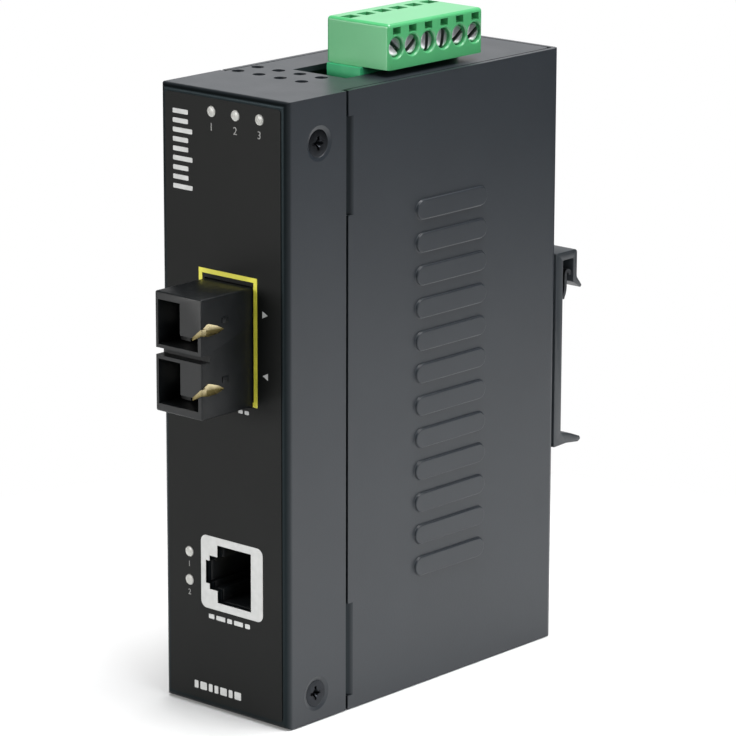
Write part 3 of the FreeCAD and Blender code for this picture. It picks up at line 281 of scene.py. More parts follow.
def finish(name, colour, darker, roughness, grain=4000.0, depth=0.004, strength=0.3, drift=500.0,
           stretch=(1, 1, 1), gloss_play=0.06, **sockets):
    """A material with drifting tone, grain and gloss; sockets are constants on the shader itself."""
    material = FINISHES[name] = bpy.data.materials.new(name)
    tree, shader = tree_and_shader(material)
    tone = blended(tree, spread(tree, noise(tree, drift, 4.0, stretch), 0.0, 1.0), darker, colour)
    play = spread(tree, noise(tree, drift * 3, 3.0, stretch), roughness - gloss_play, roughness + gloss_play)
    fill_in(tree, shader, Base_Color=tone, Roughness=play, **sockets)
    roughened(tree, shader, [(noise(tree, grain, 2.0, stretch), depth, strength)])
    return material


# %% [markdown]
# ** Powder coat.** The case is sprayed with a fine textured black. Seen close it is a skin of tiny rounded
# bumps with a satin gloss; pale surroundings lift it to grey at grazing angles. A cell pattern gives the
# rounded bumps, and the shared noise breaks them up. Shade is painted into the coat in two places. On the
# panel's border it is a darker, metal-like tone that reflects less of the pale floor, and it fades out over the
# bend. In the steps down to the cover's tabs it is painted shade too, so the steps stay dark.

# %% Powder coat for the case and the rail clip
def powder_coat(name, colour, darker, roughness, cell=2600.0):
    coat = finish(name, colour, darker, roughness, grain=cell * 1.7, depth=0.012, strength=0.35, drift=45.0,
                  gloss_play=0.015, Specular_IOR_Level=0.5)
    tree, shader = tree_and_shader(coat)
    cells = add(tree, "ShaderNodeTexVoronoi", feature="SMOOTH_F1", Scale=cell, Vector=stretched(tree))
    roughened(tree, shader, [(cells.outputs["Distance"], 0.03, 0.3)], shader.inputs["Normal"].links[0].from_socket)
    return coat


def object_place(tree):
    """The X, Y and Z of a point, in metres."""
    return add(tree, "ShaderNodeSeparateXYZ", Vector=add(tree, "ShaderNodeTexCoord").outputs["Object"]).outputs


def paint_shade(coat, shade_share, tone):
    """Paints shade into a coat where shade_share is one: a darker tone, made metallic so that it reflects less."""
    tree, shader = tree_and_shader(coat)
    coated = shader.inputs["Base Color"].links[0].from_socket
    fill_in(tree, shader, Base_Color=blended(tree, shade_share, coated, tone), Metallic=shade_share)


CASE_TONES = (0.0205, 0.025, 0.031), (0.0185, 0.0225, 0.028)
CASE_GLOSS = 0.37
STEP_BACK = -23.5
panel_y = node_box("front_label")[0].y
half_width = node_box("front_chassis")[1].x

front_coat = powder_coat("front_powder_coat", *CASE_TONES, CASE_GLOSS)
tree = front_coat.node_tree
# Painted shade on the panel's rim: full just behind the front face, gone over the bend.
border_shade = ramp(tree, object_place(tree)["Y"], (panel_y + 0.3) * MM, (panel_y + 1.8) * MM, 1, 0)
paint_shade(front_coat, border_shade, (0.013, 0.0175, 0.0195))

case_coat = powder_coat("case_powder_coat", *CASE_TONES, CASE_GLOSS)
tree = case_coat.node_tree
place_at = object_place(tree)
# Painted shade in the steps down to the cover's tabs: where the cover is sunk below the side faces, in front of
# the step.
sunk = ramp(tree, maths(tree, "ABSOLUTE", place_at["X"]), (half_width - 0.5) * MM, (half_width - 0.05) * MM, 1, 0)
forward = ramp(tree, place_at["Y"], (STEP_BACK - 0.1) * MM, (STEP_BACK + 0.3) * MM, 1, 0)
paint_shade(case_coat, maths(tree, "MULTIPLY", sunk, forward), (0.024, 0.028, 0.031))

powder_coat("clip_coat", (0.03, 0.035, 0.04), (0.023, 0.027, 0.031), 0.36)

# %% [markdown]
# **Label and print.** The panel label is a smooth black film, darker than the coat around it. The print on it
# is screened ink: flat, but never perfectly even, and a touch rougher than the film.

# %% Label film and inks
finish("label_film", (0.0048, 0.0054, 0.0051), (0.0038, 0.0043, 0.0041), 0.45, grain=5200.0, strength=0.25,
       drift=30.0, gloss_play=0.03, Specular_IOR_Level=0.12)
finish("yellow_ink", (0.64, 0.6, 0.05), (0.54, 0.51, 0.04), 0.5, grain=6000.0, depth=0.003, drift=400.0)
finish("grey_ink", (0.26, 0.26, 0.255), (0.21, 0.21, 0.205), 0.55, grain=6000.0, depth=0.003, strength=0.2,
       drift=900.0, Specular_IOR_Level=0.2)
finish("white_ink", (0.47, 0.475, 0.47), (0.4, 0.405, 0.4), 0.5, grain=6000.0, depth=0.003)

# %% [markdown]
# **Moulded plastics.** The ports are black plastic from a spark-eroded mould, which leaves a very fine matt
# grain. The terminals are green polyamide, glossy on the plug and duller on the header, and the colour clouds
# where the melt flowed. The lamps are milky lenses that light enters a little way.

# %% Plastics
finish("black_moulding", (0.004, 0.005, 0.0058), (0.0028, 0.0036, 0.0042), 0.44, grain=5200.0, depth=0.01,
       strength=0.45, drift=140.0, Specular_IOR_Level=0.32)
finish("terminal_green", (0.078, 0.4, 0.155), (0.068, 0.37, 0.14), 0.28, grain=1500.0, depth=0.001, strength=0.1,
       drift=90.0, gloss_play=0.004, Specular_IOR_Level=0.9)
finish("header_green", (0.035, 0.36, 0.15), (0.028, 0.31, 0.125), 0.55, grain=3600.0, depth=0.006, strength=0.25,
       drift=180.0, Specular_IOR_Level=0.3)
finish("lamp_lens", (0.42, 0.42, 0.4), (0.34, 0.34, 0.32), 0.28, grain=2500.0, strength=0.2, drift=300.0,
       Subsurface_Weight=0.3, Subsurface_Scale=0.0015, Subsurface_Radius=(1.0, 1.0, 0.9))
finish("chip_black", (0.03, 0.03, 0.032), (0.02, 0.02, 0.022), 0.55, grain=7000.0, depth=0.012, strength=0.5,
       drift=250.0)
finish("capacitor_sleeve", (0.03, 0.035, 0.09), (0.02, 0.024, 0.06), 0.3, grain=900.0, depth=0.01, strength=0.2,
       drift=120.0)
finish("clear_film", (0.5, 0.5, 0.44), (0.42, 0.42, 0.38), 0.3, grain=300.0, depth=0.05, drift=40.0)
finish("ceramic_white", (0.85, 0.84, 0.8), (0.78, 0.77, 0.73), 0.16, grain=9000.0, depth=0.001, strength=0.2,
       drift=200.0)

# %% [markdown]
# ** Metals.** Zinc plate is a soft bright grey with a crystal mottle. Spring steel keeps the lines of rolling,
# so its grain is drawn out along the strip. Contact metal is thinly gilded. The leaves and the terminal screws
# also carry a vertex attribute, lit_share; where it is nought, shade is painted in as a darker colour.

# %% Metals
finish("bright_zinc", (0.7, 0.71, 0.72), (0.6, 0.61, 0.63), 0.36, grain=2600.0, strength=0.2, gloss_play=0.03,
       Metallic=1.0)
finish("black_zinc", (0.034, 0.037, 0.042), (0.028, 0.03, 0.034), 0.36, grain=3000.0, depth=0.006, strength=0.25,
       drift=700.0, gloss_play=0.04, Metallic=1.0)
finish("spring_steel", (0.075, 0.08, 0.085), (0.05, 0.053, 0.057), 0.36, grain=5000.0, depth=0.01, drift=900.0,
       stretch=(0.06, 1, 1), gloss_play=0.1, Metallic=1.0)
finish("gilt_contact", (0.66, 0.55, 0.3), (0.52, 0.43, 0.22), 0.3, strength=0.2, drift=700.0, stretch=(1, 0.2, 1),
       gloss_play=0.05, Metallic=1.0)
finish("gilt_leaf", (0.8, 0.7, 0.44), (0.7, 0.6, 0.36), 0.3, strength=0.2, drift=700.0, stretch=(1, 0.2, 1),
       gloss_play=0.05, Metallic=1.0)
finish("screw_zinc", (0.8, 0.81, 0.82), (0.7, 0.71, 0.72), 0.36, grain=2600.0, strength=0.2, gloss_play=0.03,
       Metallic=1.0)
# Painted shade: where lit_share is nought a darker colour is mixed in; on the screws its dark green is also a
# painted reflection of the plug.
for name, shade_colour in (("gilt_leaf", (0.12, 0.095, 0.035)), ("screw_zinc", (0.012, 0.03, 0.02))):
    tree, shader = tree_and_shader(FINISHES[name])
    lit_share = add(tree, "ShaderNodeAttribute", attribute_name="lit_share").outputs["Fac"]
    bright = shader.inputs["Base Color"].links[0].from_socket
    fill_in(tree, shader, Base_Color=blended(tree, lit_share, shade_colour, bright))
finish("tinned_copper", (0.72, 0.71, 0.68), (0.54, 0.53, 0.5), 0.34, grain=3000.0, depth=0.01, drift=800.0,
       gloss_play=0.1, Metallic=1.0)
finish("turned_steel", (0.62, 0.6, 0.55), (0.48, 0.46, 0.42), 0.28, grain=2200.0, depth=0.012, strength=0.4,
       stretch=(0.15, 3, 0.15), gloss_play=0.1, Metallic=1.0)
finish("bright_can", (0.78, 0.78, 0.78), (0.64, 0.64, 0.65), 0.25, grain=2400.0, depth=0.01, strength=0.25,
       drift=400.0, gloss_play=0.08, Metallic=1.0)

# %% [markdown]
# **Board laminate.** Under the green mask of a circuit board lies woven glass. Two crossed waves at the pitch
# of the cloth print through as a faint grid, and the edges of copper tracks show as raised lines.

# %% Board laminate
finish("board_laminate", (0.012, 0.16, 0.055), (0.008, 0.11, 0.04), 0.3, grain=2500.0, depth=0.006, strength=0.2,
       drift=90.0)
CLOTH_PITCH = 0.5
tree, shader = tree_and_shader(FINISHES["board_laminate"])
heights = []
for axis in ("Y", "Z"):
    wave = add(tree, "ShaderNodeTexWave", bands_direction=axis, Scale=0.314 / (CLOTH_PITCH * MM), Distortion=1.5,
               Vector=stretched(tree))
    heights.append((wave.outputs["Fac"], 0.008, 0.3))
tracks = add(tree, "ShaderNodeTexBrick", Scale=260.0, Mortar_Size=0.03, Vector=stretched(tree))
roughened(tree, shader, heights + [(tracks.outputs["Fac"], 0.035, 0.5)])

# %% [markdown]
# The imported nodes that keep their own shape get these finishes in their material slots. The table below reads
# like a parts list: a slot of the record and the finish that stands for it. Every other slot has a finish of
# its own name.

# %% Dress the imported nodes
FINISH_OF_SLOT = dict(
    case_paint="case_powder_coat", clip_paint="clip_coat", yellow_print="yellow_ink", white_print="white_ink",
    black_screw="black_zinc", zinc_steel="bright_zinc", gilt_spring="gilt_contact", optic_metal="turned_steel",
    terminal_green="header_green", crystal_can="bright_can")
for part in frame["record"]["subparts"]:
    slot = part["material_slot"]
    for material_slot in frame["nodes"][part["node"]].material_slots:
        material_slot.material = FINISHES[FINISH_OF_SLOT.get(slot, slot)]
frame["nodes"]["front_chassis"].material_slots[0].material = front_coat
print("finishes:", len(FINISHES))

# %% [markdown]
# ## Shared small parts
# A few shapes recur: a block that widens towards one side, as every moulded opening does so that the tool can
# be drawn out, a turned body spun from its profile, and a wire laid along a path.

# %% Drafted blocks, turned bodies and wires
def poured(source, bm):
    """Adds one bmesh to another and frees it."""
    mesh = bpy.data.meshes.new("poured")
    source.to_mesh(mesh)
    source.free()
    bm.from_mesh(mesh)
    bpy.data.meshes.remove(mesh)


def drafted(bm, low, high, axis, side, grow):
    """A block whose low (side -1) or high (side 1) end on an axis is wider by grow all round."""
    verts = block(bm, low, high)
    middle = (Vector(low) + Vector(high)) / 2
    end = high[axis] if side > 0 else low[axis]
    for vert in verts:
        if abs(vert.co[axis] - end) < 1e-6:
            for other in range(3):
                if other != axis:
                    vert.co[other] += math.copysign(grow, vert.co[other] - middle[other])
    return verts


def turned(bm, profile, start, direction, steps=40):
    """A profile of (radius, height) pairs spun around a line from start along direction."""
    lathe = bmesh.new()
    points = [lathe.verts.new((radius, 0, height)) for radius, height in profile]
    lines = [lathe.edges.new(pair) for pair in zip(points, points[1:])]
    bmesh.ops.spin(lathe, geom=points + lines, axis=(0, 0, 1), angle=math.tau, steps=steps, use_merge=True)
    bmesh.ops.remove_doubles(lathe, verts=lathe.verts, dist=0.001)
    bmesh.ops.rotate(lathe, matrix=Vector(direction).to_track_quat("Z", "Y").to_matrix(), verts=lathe.verts)
    bmesh.ops.translate(lathe, vec=start, verts=lathe.verts)
    poured(lathe, bm)


def corner_curve(before, at, after, radius, steps, divisor):
    """Points of an arc-like curve in place of a corner; it uses up less than half of either side."""
    start, end = [at + (other - at).normalized() * min(radius, (other - at).length / divisor)
                  for other in (before, after)]
    return [start * (1 - t) ** 2 + at * 2 * t * (1 - t) + end * t ** 2
            for t in [step / steps for step in range(steps + 1)]]


def rounded_path(corners, radius, steps=5):
    """A line through corners with each inner corner replaced by a curve."""
    corners = [Vector(corner) for corner in corners]
    path = [corners[0]]
    for before, at, after in zip(corners, corners[1:], corners[2:]):
        path += corner_curve(before, at, after, radius, steps, 2.01)
    return path + [corners[-1]]


def curved_outline(corners, radius, steps=4):
    """A closed outline with rounded corners."""
    ring = [Vector(corner) for corner in corners]
    points = []
    for before, at, after in zip(ring[-1:] + ring, ring, ring[1:] + ring[:1]):
        points += corner_curve(before, at, after, radius, steps, 2.05)
    return points


def swept(bm, path, ring_at):
    """Rings of vertices laid along a path, skinned and capped; ring_at gives a ring's points."""
    rings = []
    for number, point in enumerate(path):
        before, after = path[max(number - 1, 0)], path[min(number + 1, len(path) - 1)]
        rings.append([bm.verts.new(p) for p in ring_at(point, (after - before).normalized())])
    for one, two in zip(rings, rings[1:]):
        for i in range(len(one)):
            bm.faces.new((one[i], one[i - 1], two[i - 1], two[i]))
    bm.faces.new(rings[0])
    bm.faces.new(list(reversed(rings[-1])))


def wire(bm, path, radius, sides=10):
    def ring_at(point, along):
        turn = along.to_track_quat("Z", "Y").to_matrix()
        return [point + turn @ Vector((radius * math.cos(math.tau * i / sides),
                                       radius * math.sin(math.tau * i / sides), 0)) for i in range(sides)]
    swept(bm, path, ring_at)


def strip_x(bm, path, thick, low, high):
    """A flat strip bent in the Y-Z plane, between two X values."""
    def ring_at(point, along):
        across = Vector((0, -along.z, along.y)) * thick / 2
        return [Vector((x, 0, 0)) + point + way * across
                for x, way in ((low, 1), (high, 1), (high, -1), (low, -1))]
    swept(bm, path, ring_at)


def even(piece):
    """Keeps large faces flat beside small bevels."""
    piece.modifiers.new("even_normals", "WEIGHTED_NORMAL").keep_sharp = True


# %% [markdown]
# ## Folded steel case
# **Chassis and cover.** Both halves are blanked and folded from 1.2 mm sheet, deburred and then coated, so no
# edge is truly sharp: the coat rounds it to a few tenths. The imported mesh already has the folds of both. On the
# cover, whose ribs and tabs catch the light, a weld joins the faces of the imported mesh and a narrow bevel
# rounds what is sharper than 35 degrees. The chassis stays as packed: a bevel on its panel's rim would shade
# the flat border beside it too.

# %% Soft edges on the cover
cover = frame["nodes"]["rear_cover"]
weld = cover.modifiers.new("weld", "WELD")
weld.merge_threshold = 0.002 * MM
bevel = cover.modifiers.new("soft_edges", "BEVEL")
bevel.width, bevel.segments = 0.16 * MM, 2
bevel.limit_method, bevel.angle_limit = "ANGLE", math.radians(35)
bevel.use_clamp_overlap = bevel.harden_normals = True
print("soft edges on the cover, of", round(bevel.width / MM, 3), "mm")

# %% [markdown]
# **Case screws.** Countersunk screws with a cross recess, blackened. The driver recess is pressed: four arms
# that taper towards the bottom around a conical middle. The head lies a little below the surface, in a dimple
# that the countersink leaves in the thin sheet.

# %% Countersunk screws
HEAD_RADIUS, SHANK_RADIUS, SCREW_LENGTH = 2.93, 1.45, 5.0
RECESS_SPAN, RECESS_WIDTH, RECESS_DEPTH = 3.4, 0.62, 1.15


def cross_recess(cutter, top, into):
    """Cutter for a cross recess at a head's face; into points down the screw."""
    turn = into.to_track_quat("Z", "Y").to_matrix()
    arm_x, arm_y = RECESS_SPAN / 2 * 0.55, RECESS_WIDTH / 2 * 0.8
    for arm in (0, 1):
        for vert in block(cutter, (-arm_x, -arm_y, -RECESS_DEPTH), (arm_x, arm_y, 0.3)):
            if vert.co.z > 0:
                vert.co.x *= 1.85
                vert.co.y *= 1.35
            vert.co.z = -vert.co.z
            if arm:
                vert.co.x, vert.co.y = -vert.co.y, vert.co.x
            vert.co = turn @ vert.co + top
    rod(cutter, top - into * 0.3, top + into * RECESS_DEPTH * 1.05, RECESS_SPAN * 0.33, 0.25, 20)


def countersunk_screws(name, node, spots):
    bm, cutter = bmesh.new(), bmesh.new()
    head, shank = HEAD_RADIUS, SHANK_RADIUS
    slope = head - shank
    profile = [(0, 0.04), (head * 0.5, 0.02), (head - 0.16, 0.0), (head - 0.04, 0.03), (head - 0.02, 0.12),
               (shank + 0.02, slope), (shank, slope + 0.25), (shank, SCREW_LENGTH - 0.4),
               (shank - 0.35, SCREW_LENGTH), (0, SCREW_LENGTH)]
    for face, into in spots:
        turned(bm, profile, face, into)
        cross_recess(cutter, Vector(face), Vector(into))
    put(name, carved(bm, cutter), "black_screw", node)


screw_low, screw_high = node_box("case_screws")
case_spots = [((x, y, z), (inwards, 0, 0)) for x, inwards in ((screw_low.x, 1), (screw_high.x, -1))
              for y, z in ((-34.1, 125.2), (-35.1, 6.2))]
countersunk_screws("case_screw_set", "case_screws", case_spots)

clip_screw_face = node_box("clip_screws")[1].y
clip_spots = [(x, clip_screw_face, 44.0 + rise) for x, rise in ((-10, 8.4), (10, 8.4), (0, 30.0))]
countersunk_screws("clip_screw_set", "clip_screws", [(spot, (0, -1, 0)) for spot in clip_spots])

# %% [markdown]
# ## Front panel
# **Legend.** Small marks are screened beside the lamps and ports: plain numerals in grey, and in white the
# arrows for the two fibre directions and short bars where a legend would stand. The numerals come from the
# built-in font, made into thin meshes; the bars have the rounded ends that ink gives them.

# %% Printed legend
INK = 0.055
ARROW = 0.75
LAMP_XS = (-3.1, 3.7, 10.5)
COLUMN_X, COLUMN_Z, COLUMN_STEP = -14.2, 113.0, 2.0
BAR_GAP = 0.6


def numeral(bm, text, x, z, tall, face_y):
    curve = bpy.data.curves.new("numeral", "FONT")
    curve.body, curve.size, curve.extrude, curve.align_x = text, tall * 1.38, 0.02, "CENTER"
    curve.resolution_u = 3
    holder = bpy.data.objects.new("numeral", curve)
    made = bmesh.new()
    made.from_mesh(holder.to_mesh())
    bmesh.ops.rotate(made, matrix=Matrix.Rotation(math.radians(90), 3, "X"), verts=made.verts)
    bmesh.ops.translate(made, vec=(x, face_y - 0.02, z), verts=made.verts)
    poured(made, bm)
    holder.to_mesh_clear()
    bpy.data.objects.remove(holder)
    bpy.data.curves.remove(curve)


def ink_bar(bm, x0, x1, z0, z1, face_y, corner=0.2):
    verts = block(bm, (x0, face_y - INK, z0), (x1, face_y, z1))
    soften(bm, edges_of(verts, lambda middle, along: abs(along.y) > 0.9), corner, 3)


def lamp_numbers(face_y):
    bm = bmesh.new()
    lamp_z = node_middle("status_lamps")[2]
    for number, x in enumerate(LAMP_XS):
        numeral(bm, str(number + 1), x, lamp_z - 4.0, 1.7, face_y)
    low, high = node_box("port_lamps")
    for number, z in enumerate((high.z - 1.5, low.z + 1.5)):
        numeral(bm, str(number + 1), node_middle("port_lamps")[0], z - 3.3, 1.3, face_y)
    return bm


def legend(face_y):
    bm = bmesh.new()
    for row in range(9):
        z = COLUMN_Z + row * COLUMN_STEP
        ink_bar(bm, COLUMN_X, COLUMN_X + (4.4 if row % 3 else 5.6), z, z + 1.0, face_y)
    ports_low, ports_high = node_box("fibre_housing")
    ports_z, jack_z = node_middle("fibre_housing")[2], node_middle("jack_housing")[2]
    x = ports_high.x + 3.5
    for z, way in ((ports_z + 7.55, 1), (ports_z - 5.55, -1)):
        points = [(x - way * ARROW, face_y, z - ARROW), (x + way * ARROW, face_y, z),
                  (x - way * ARROW, face_y, z + ARROW)]
        outline_plate(bm, points, (0, -INK, 0))
    rows = (((4.2, ports_low.z - 1.9, 0.8), (1.2, 1.2)), ((-4.8, jack_z - 10.3, 1.0), (1.6, 2.6, 1.4, 2.6, 1.4)),
            ((-9.2, 3.7, 1.7), (1.1, 1.9, 1.1, 1.1, 1.9, 1.1, 1.9)))
    for (x, z, tall), lengths in rows:
        for length in lengths:
            ink_bar(bm, x, x + length, z, z + tall, face_y, 0.18)
            x += length + BAR_GAP
    return bm


label_face = node_box("front_label")[0].y
put("legend_print", legend(label_face), "white_print", "legend_marks")
put("lamp_numbers", lamp_numbers(label_face), "white_print", finish_name="grey_ink")

# %% [markdown]
# **Lamps.** Each lamp is the domed end of a light pipe that looks out of the panel. The lens is spun from its
# profile: a rounded nose, a straight barrel and a flange that stops it behind the sheet.

# %% Light pipes
BARREL, FLANGE = 1.15, 1.5


def light_pipes(name, node, spots):
    bm = bmesh.new()
    front, back = [corner.y for corner in node_box(node)]
    dome = [(BARREL * math.sin(a), 0.32 * (1 - math.cos(a))) for a in [math.radians(10 * i) for i in range(10)]]
    depth = back - front
    profile = dome + [(BARREL, depth - 1.0), (FLANGE, depth - 1.0), (FLANGE, depth), (0, depth)]
    for x, z in spots:
        turned(bm, profile, (x, front, z), (0, 1, 0), 36)
    put(name, bm, "lamp_lens", node)


low, high = node_box("status_lamps")
x, y, z = node_middle("status_lamps")
light_pipes("status_lens", "status_lamps", [(low.x + FLANGE, z), (x, z), (high.x - FLANGE, z)])
low, high = node_box("port_lamps")
x, y, z = node_middle("port_lamps")
light_pipes("port_lens", "port_lamps", [(x, low.z + FLANGE), (x, high.z - FLANGE)])

# %% [markdown]
# ## Fibre ports
# **Housing.** One black moulding holds both ports and stands well out of the panel. Its mouths have a small
# lead-in around the rim, thin walls, and a low side pocket each; a groove parts the two mouths. Outer edges are
# rounded as a mould leaves them, and a low pad stands on the side wall by each port. Behind the panel the
# moulding is hollow for the optics.

# %% Fibre housing
PORT_PITCH = 12.7
MOUTH_HALF = 4.8
fibre_low, fibre_high = node_box("fibre_housing")
fibre_front, fibre_right, fibre_left = fibre_low.y, fibre_high.x - 0.25, fibre_low.x
fibre_middle = node_middle("fibre_housing")[2]
port_zs = (fibre_middle - PORT_PITCH / 2, fibre_middle + PORT_PITCH / 2)
mouth_left, mouth_right = fibre_left + 0.9, fibre_left + 7.2
port_axis = (mouth_left + mouth_right) / 2


def fibre_port(cutter, z):
    """One port's mouth and its lead-in, the low side pocket and its lead-in, and the bore for the ferrule."""
    low, high = z - MOUTH_HALF, z + MOUTH_HALF
    drafted(cutter, (mouth_left + 0.12, fibre_front - 1, low + 0.12),
            (mouth_right - 0.12, fibre_front + 13.0, high - 0.12), 1, -1, 0.12)
    drafted(cutter, (mouth_left, fibre_front - 0.3, low), (mouth_right, fibre_front + 0.28, high), 1, -1, 0.5)
    block(cutter, (mouth_right - 1, fibre_front - 1, low + 0.05),
          (fibre_right - 1.1, fibre_front + 9.0, low + 2.85))
    drafted(cutter, (mouth_right - 1, fibre_front - 0.3, low + 0.1),
            (fibre_right - 1.2, fibre_front + 0.22, low + 2.8), 1, -1, 0.34)
    rod(cutter, (port_axis, fibre_front + 12, z), (port_axis, fibre_high.y - 12, z), 2.6)


def fibre_housing():
    bm, cutter = bmesh.new(), bmesh.new()
    body = block(bm, fibre_low, (fibre_right, fibre_high.y, fibre_high.z))
    soften(bm, edges_of(body), 0.42, 4)
    block(cutter, (fibre_left - 1, fibre_front - 1, fibre_middle - 0.8),
          (fibre_right + 1, fibre_front + 2.5, fibre_middle + 0.8))
    for z in port_zs:
        fibre_port(cutter, z)
    block(cutter, (fibre_left + 1.2, fibre_front + 17.0, fibre_low.z + 1.2),
          (fibre_right - 1.2, fibre_high.y + 1, fibre_high.z - 1.2))
    shape = carved(bm, cutter)
    for z in port_zs:
        pad = block(shape, (fibre_right - 0.3, fibre_front + 6.0, z + 0.6),
                    (fibre_high.x, fibre_front + 7.8, z + 1.8))
        soften(shape, edges_of(pad, lambda middle, along: middle.x > fibre_high.x - 0.01), 0.1, 2)
    return shape


put("fibre_housing_shell", fibre_housing(), "black_moulding", "fibre_housing")

# %% [markdown]
# ** Clips.** A pointed gilt leaf lies on the outside of each port's wall. Its root is folded round the wall's
# front edge and hooks into the low pocket, so the leaf is one strip of metal with rounded bends. The leaf's
# outline is drawn with soft corners and dished a little, as a stamped contact is. Its lower half is painted
# darker: painted shade on the part that turns away from the light.

# %% Gilt leaves
LEAF = 0.3
LEAF_OUTLINE = ((0.1, -1.2), (0.1, 0.25), (1.7, 1.25), (4.6, 0.35), (6.6, -0.65), (4.4, -1.35), (1.8, -1.5))


def leaf(bm, z):
    front, out = fibre_front - 0.05, fibre_right + 0.05
    corners = [(out, front + back, z + rise) for back, rise in LEAF_OUTLINE]
    plate = outline_plate(bm, curved_outline(corners, 0.35), (LEAF, 0, 0))
    for vert in plate:
        if vert.co.x > out + LEAF - 0.01:
            vert.co.x -= 0.16
    dish = [face for face in bm.faces
            if set(face.verts) <= set(plate) and min(vert.co.x for vert in face.verts) > out + 0.1]
    bmesh.ops.poke(bm, faces=dish, offset=0.15)
    # the bend around the wall's front edge, and the hook in the pocket
    inside, half = fibre_right - 2.7, LEAF / 2
    path = rounded_path([(out + half, front + 1.0, 0), (out + half, front - half, 0),
                         (inside + half, front - half, 0), (inside + half, front + 2.0, 0)], 0.32)

    def ring_at(point, along):
        across = Vector((-along.y, along.x, 0)) * half
        reach = min(max((out - point.x) / (out - inside), 0), 1)
        low, high = z - 1.1 - 1.5 * reach, z + 0.3 - 2.3 * reach
        return [Vector((0, 0, level)) + point + way * across
                for level, way in ((low, 1), (high, 1), (high, -1), (low, -1))]
    swept(bm, path, ring_at)


bm = bmesh.new()
lit_share = bm.verts.layers.float.new("lit_share")
# Painted shade: lit_share runs from nought at a leaf's lower part to one at its upper part.
for z in port_zs:
    old = set(bm.verts)
    leaf(bm, z)
    for vert in set(bm.verts) - old:
        vert[lit_share] = min(max((vert.co.z - z + 0.15) / 0.7, 0), 1)
even(put("gilt_leaves", bm, "gilt_spring", "port_clips", finish_name="gilt_leaf"))

# %% [markdown]
# ## Network jack
# **Housing.** The jack lies on its side: the latch recess is on the left and the eight spring wires are on the
# right, held apart by a comb. The mouth steps in three widths and has a lead-in.

# %% Network jack
jack_low, jack_high = node_box("jack_housing")
jack_front, jack_z = jack_low.y, node_middle("jack_housing")[2]
jack_side = jack_high.x - 14.6
JACK_STEPS = ((3.95, 13.75, 6.4), (1.65, 3.95, 3.75), (0.55, 1.65, 2.55))
RIM = 0.4
jack_right = jack_side + JACK_STEPS[0][1]
contact_zs = [jack_z + (number - 3.5) * 1.02 for number in range(8)]


def jack_housing():
    bm, cutter = bmesh.new(), bmesh.new()
    body = block(bm, (jack_side, jack_front, jack_low.z), (jack_high.x, jack_high.y, jack_high.z))
    soften(bm, edges_of(body, lambda middle, along: abs(along.y) > 0.9 or middle.y < jack_front + 0.1), 0.4, 3)
    for number, (low, high, half) in enumerate(JACK_STEPS):
        x0 = jack_side + low + RIM
        x1 = jack_side + (high - RIM if number == 0 else high + 0.8)
        z0, z1 = jack_z - half + RIM, jack_z + half - RIM
        drafted(cutter, (x0, jack_front - 1, z0), (x1, jack_front + 13.5, z1), 1, -1, 0.06)
        drafted(cutter, (x0, jack_front - 0.3, z0), (x1, jack_front + 0.5, z1), 1, -1, 0.5)
    for z in contact_zs:
        block(cutter, (jack_right - 3.2, jack_front + 4.0, z - 0.35),
              (jack_right - 0.2, jack_front + 16.5, z + 0.35))
    shape = carved(bm, cutter)
    for z in (jack_z - 5.7, jack_z + 5.7):
        rod(shape, (jack_low.x, jack_front + 11.5, z), (jack_side + 0.2, jack_front + 11.5, z), 1.5, 1.5, 24)
    return shape


put("jack_shell", jack_housing(), "black_moulding", "jack_housing")

CONTACT_PATH = ((0.9, 15.9), (0.9, 5.0), (2.2, 5.6), (3.7, 11.8))
bm = bmesh.new()
for z in contact_zs:
    wire(bm, rounded_path([(jack_right - inset, jack_front + back, z) for inset, back in CONTACT_PATH], 0.9), 0.22)
put("jack_wires", bm, "gilt_spring", "jack_contacts")

# %% [markdown]
# ## Terminal plug
# **Header.** A shallow green trough soldered to the top board; it takes the plug's skirt. Its rim is rounded,
# and a square bore in its floor takes each pin.

# %% Header
plug_low, plug_high = node_box("plug_body")
header_low, header_high = node_box("terminal_header")
POLES = range(1, 7)
pole_ys = [node_middle("clamp_screw_%d" % number)[1] for number in POLES]
pitch = pole_ys[1] - pole_ys[0]
header_x = node_middle("terminal_header")[0]


def terminal_header():
    bm, cutter = bmesh.new(), bmesh.new()
    body = block(bm, header_low, header_high)
    soften(bm, edges_of(body, lambda middle, along: abs(along.z) > 0.9 or middle.z > header_high.z - 0.1), 0.24, 3)
    block(cutter, (header_low.x + 0.75, header_low.y + 0.75, header_low.z + 1.95),
          (header_high.x - 0.75, header_high.y - 0.75, header_high.z + 1))
    for y in pole_ys:
        block(cutter, (header_x - 0.55, y - 0.55, header_low.z - 1), (header_x + 0.55, y + 0.55, header_low.z + 4))
    return carved(bm, cutter)


put("terminal_trough", terminal_header(), "terminal_green", "terminal_header")

# %% [markdown]
# **Plug.** The pull-off plug is one moulding with a well-rounded head. Each pole has a square wire funnel on
# top, a round well on the right with the clamp screw in it, a small test hole above the well and a
# chamber for the clamp cage.

# %% Plug
WELL_RISE = 4.7
WELL_RADIUS = 2.25
BORE_HALF = 1.45
plug_base = header_high.z + 0.1
well_z = plug_base + WELL_RISE


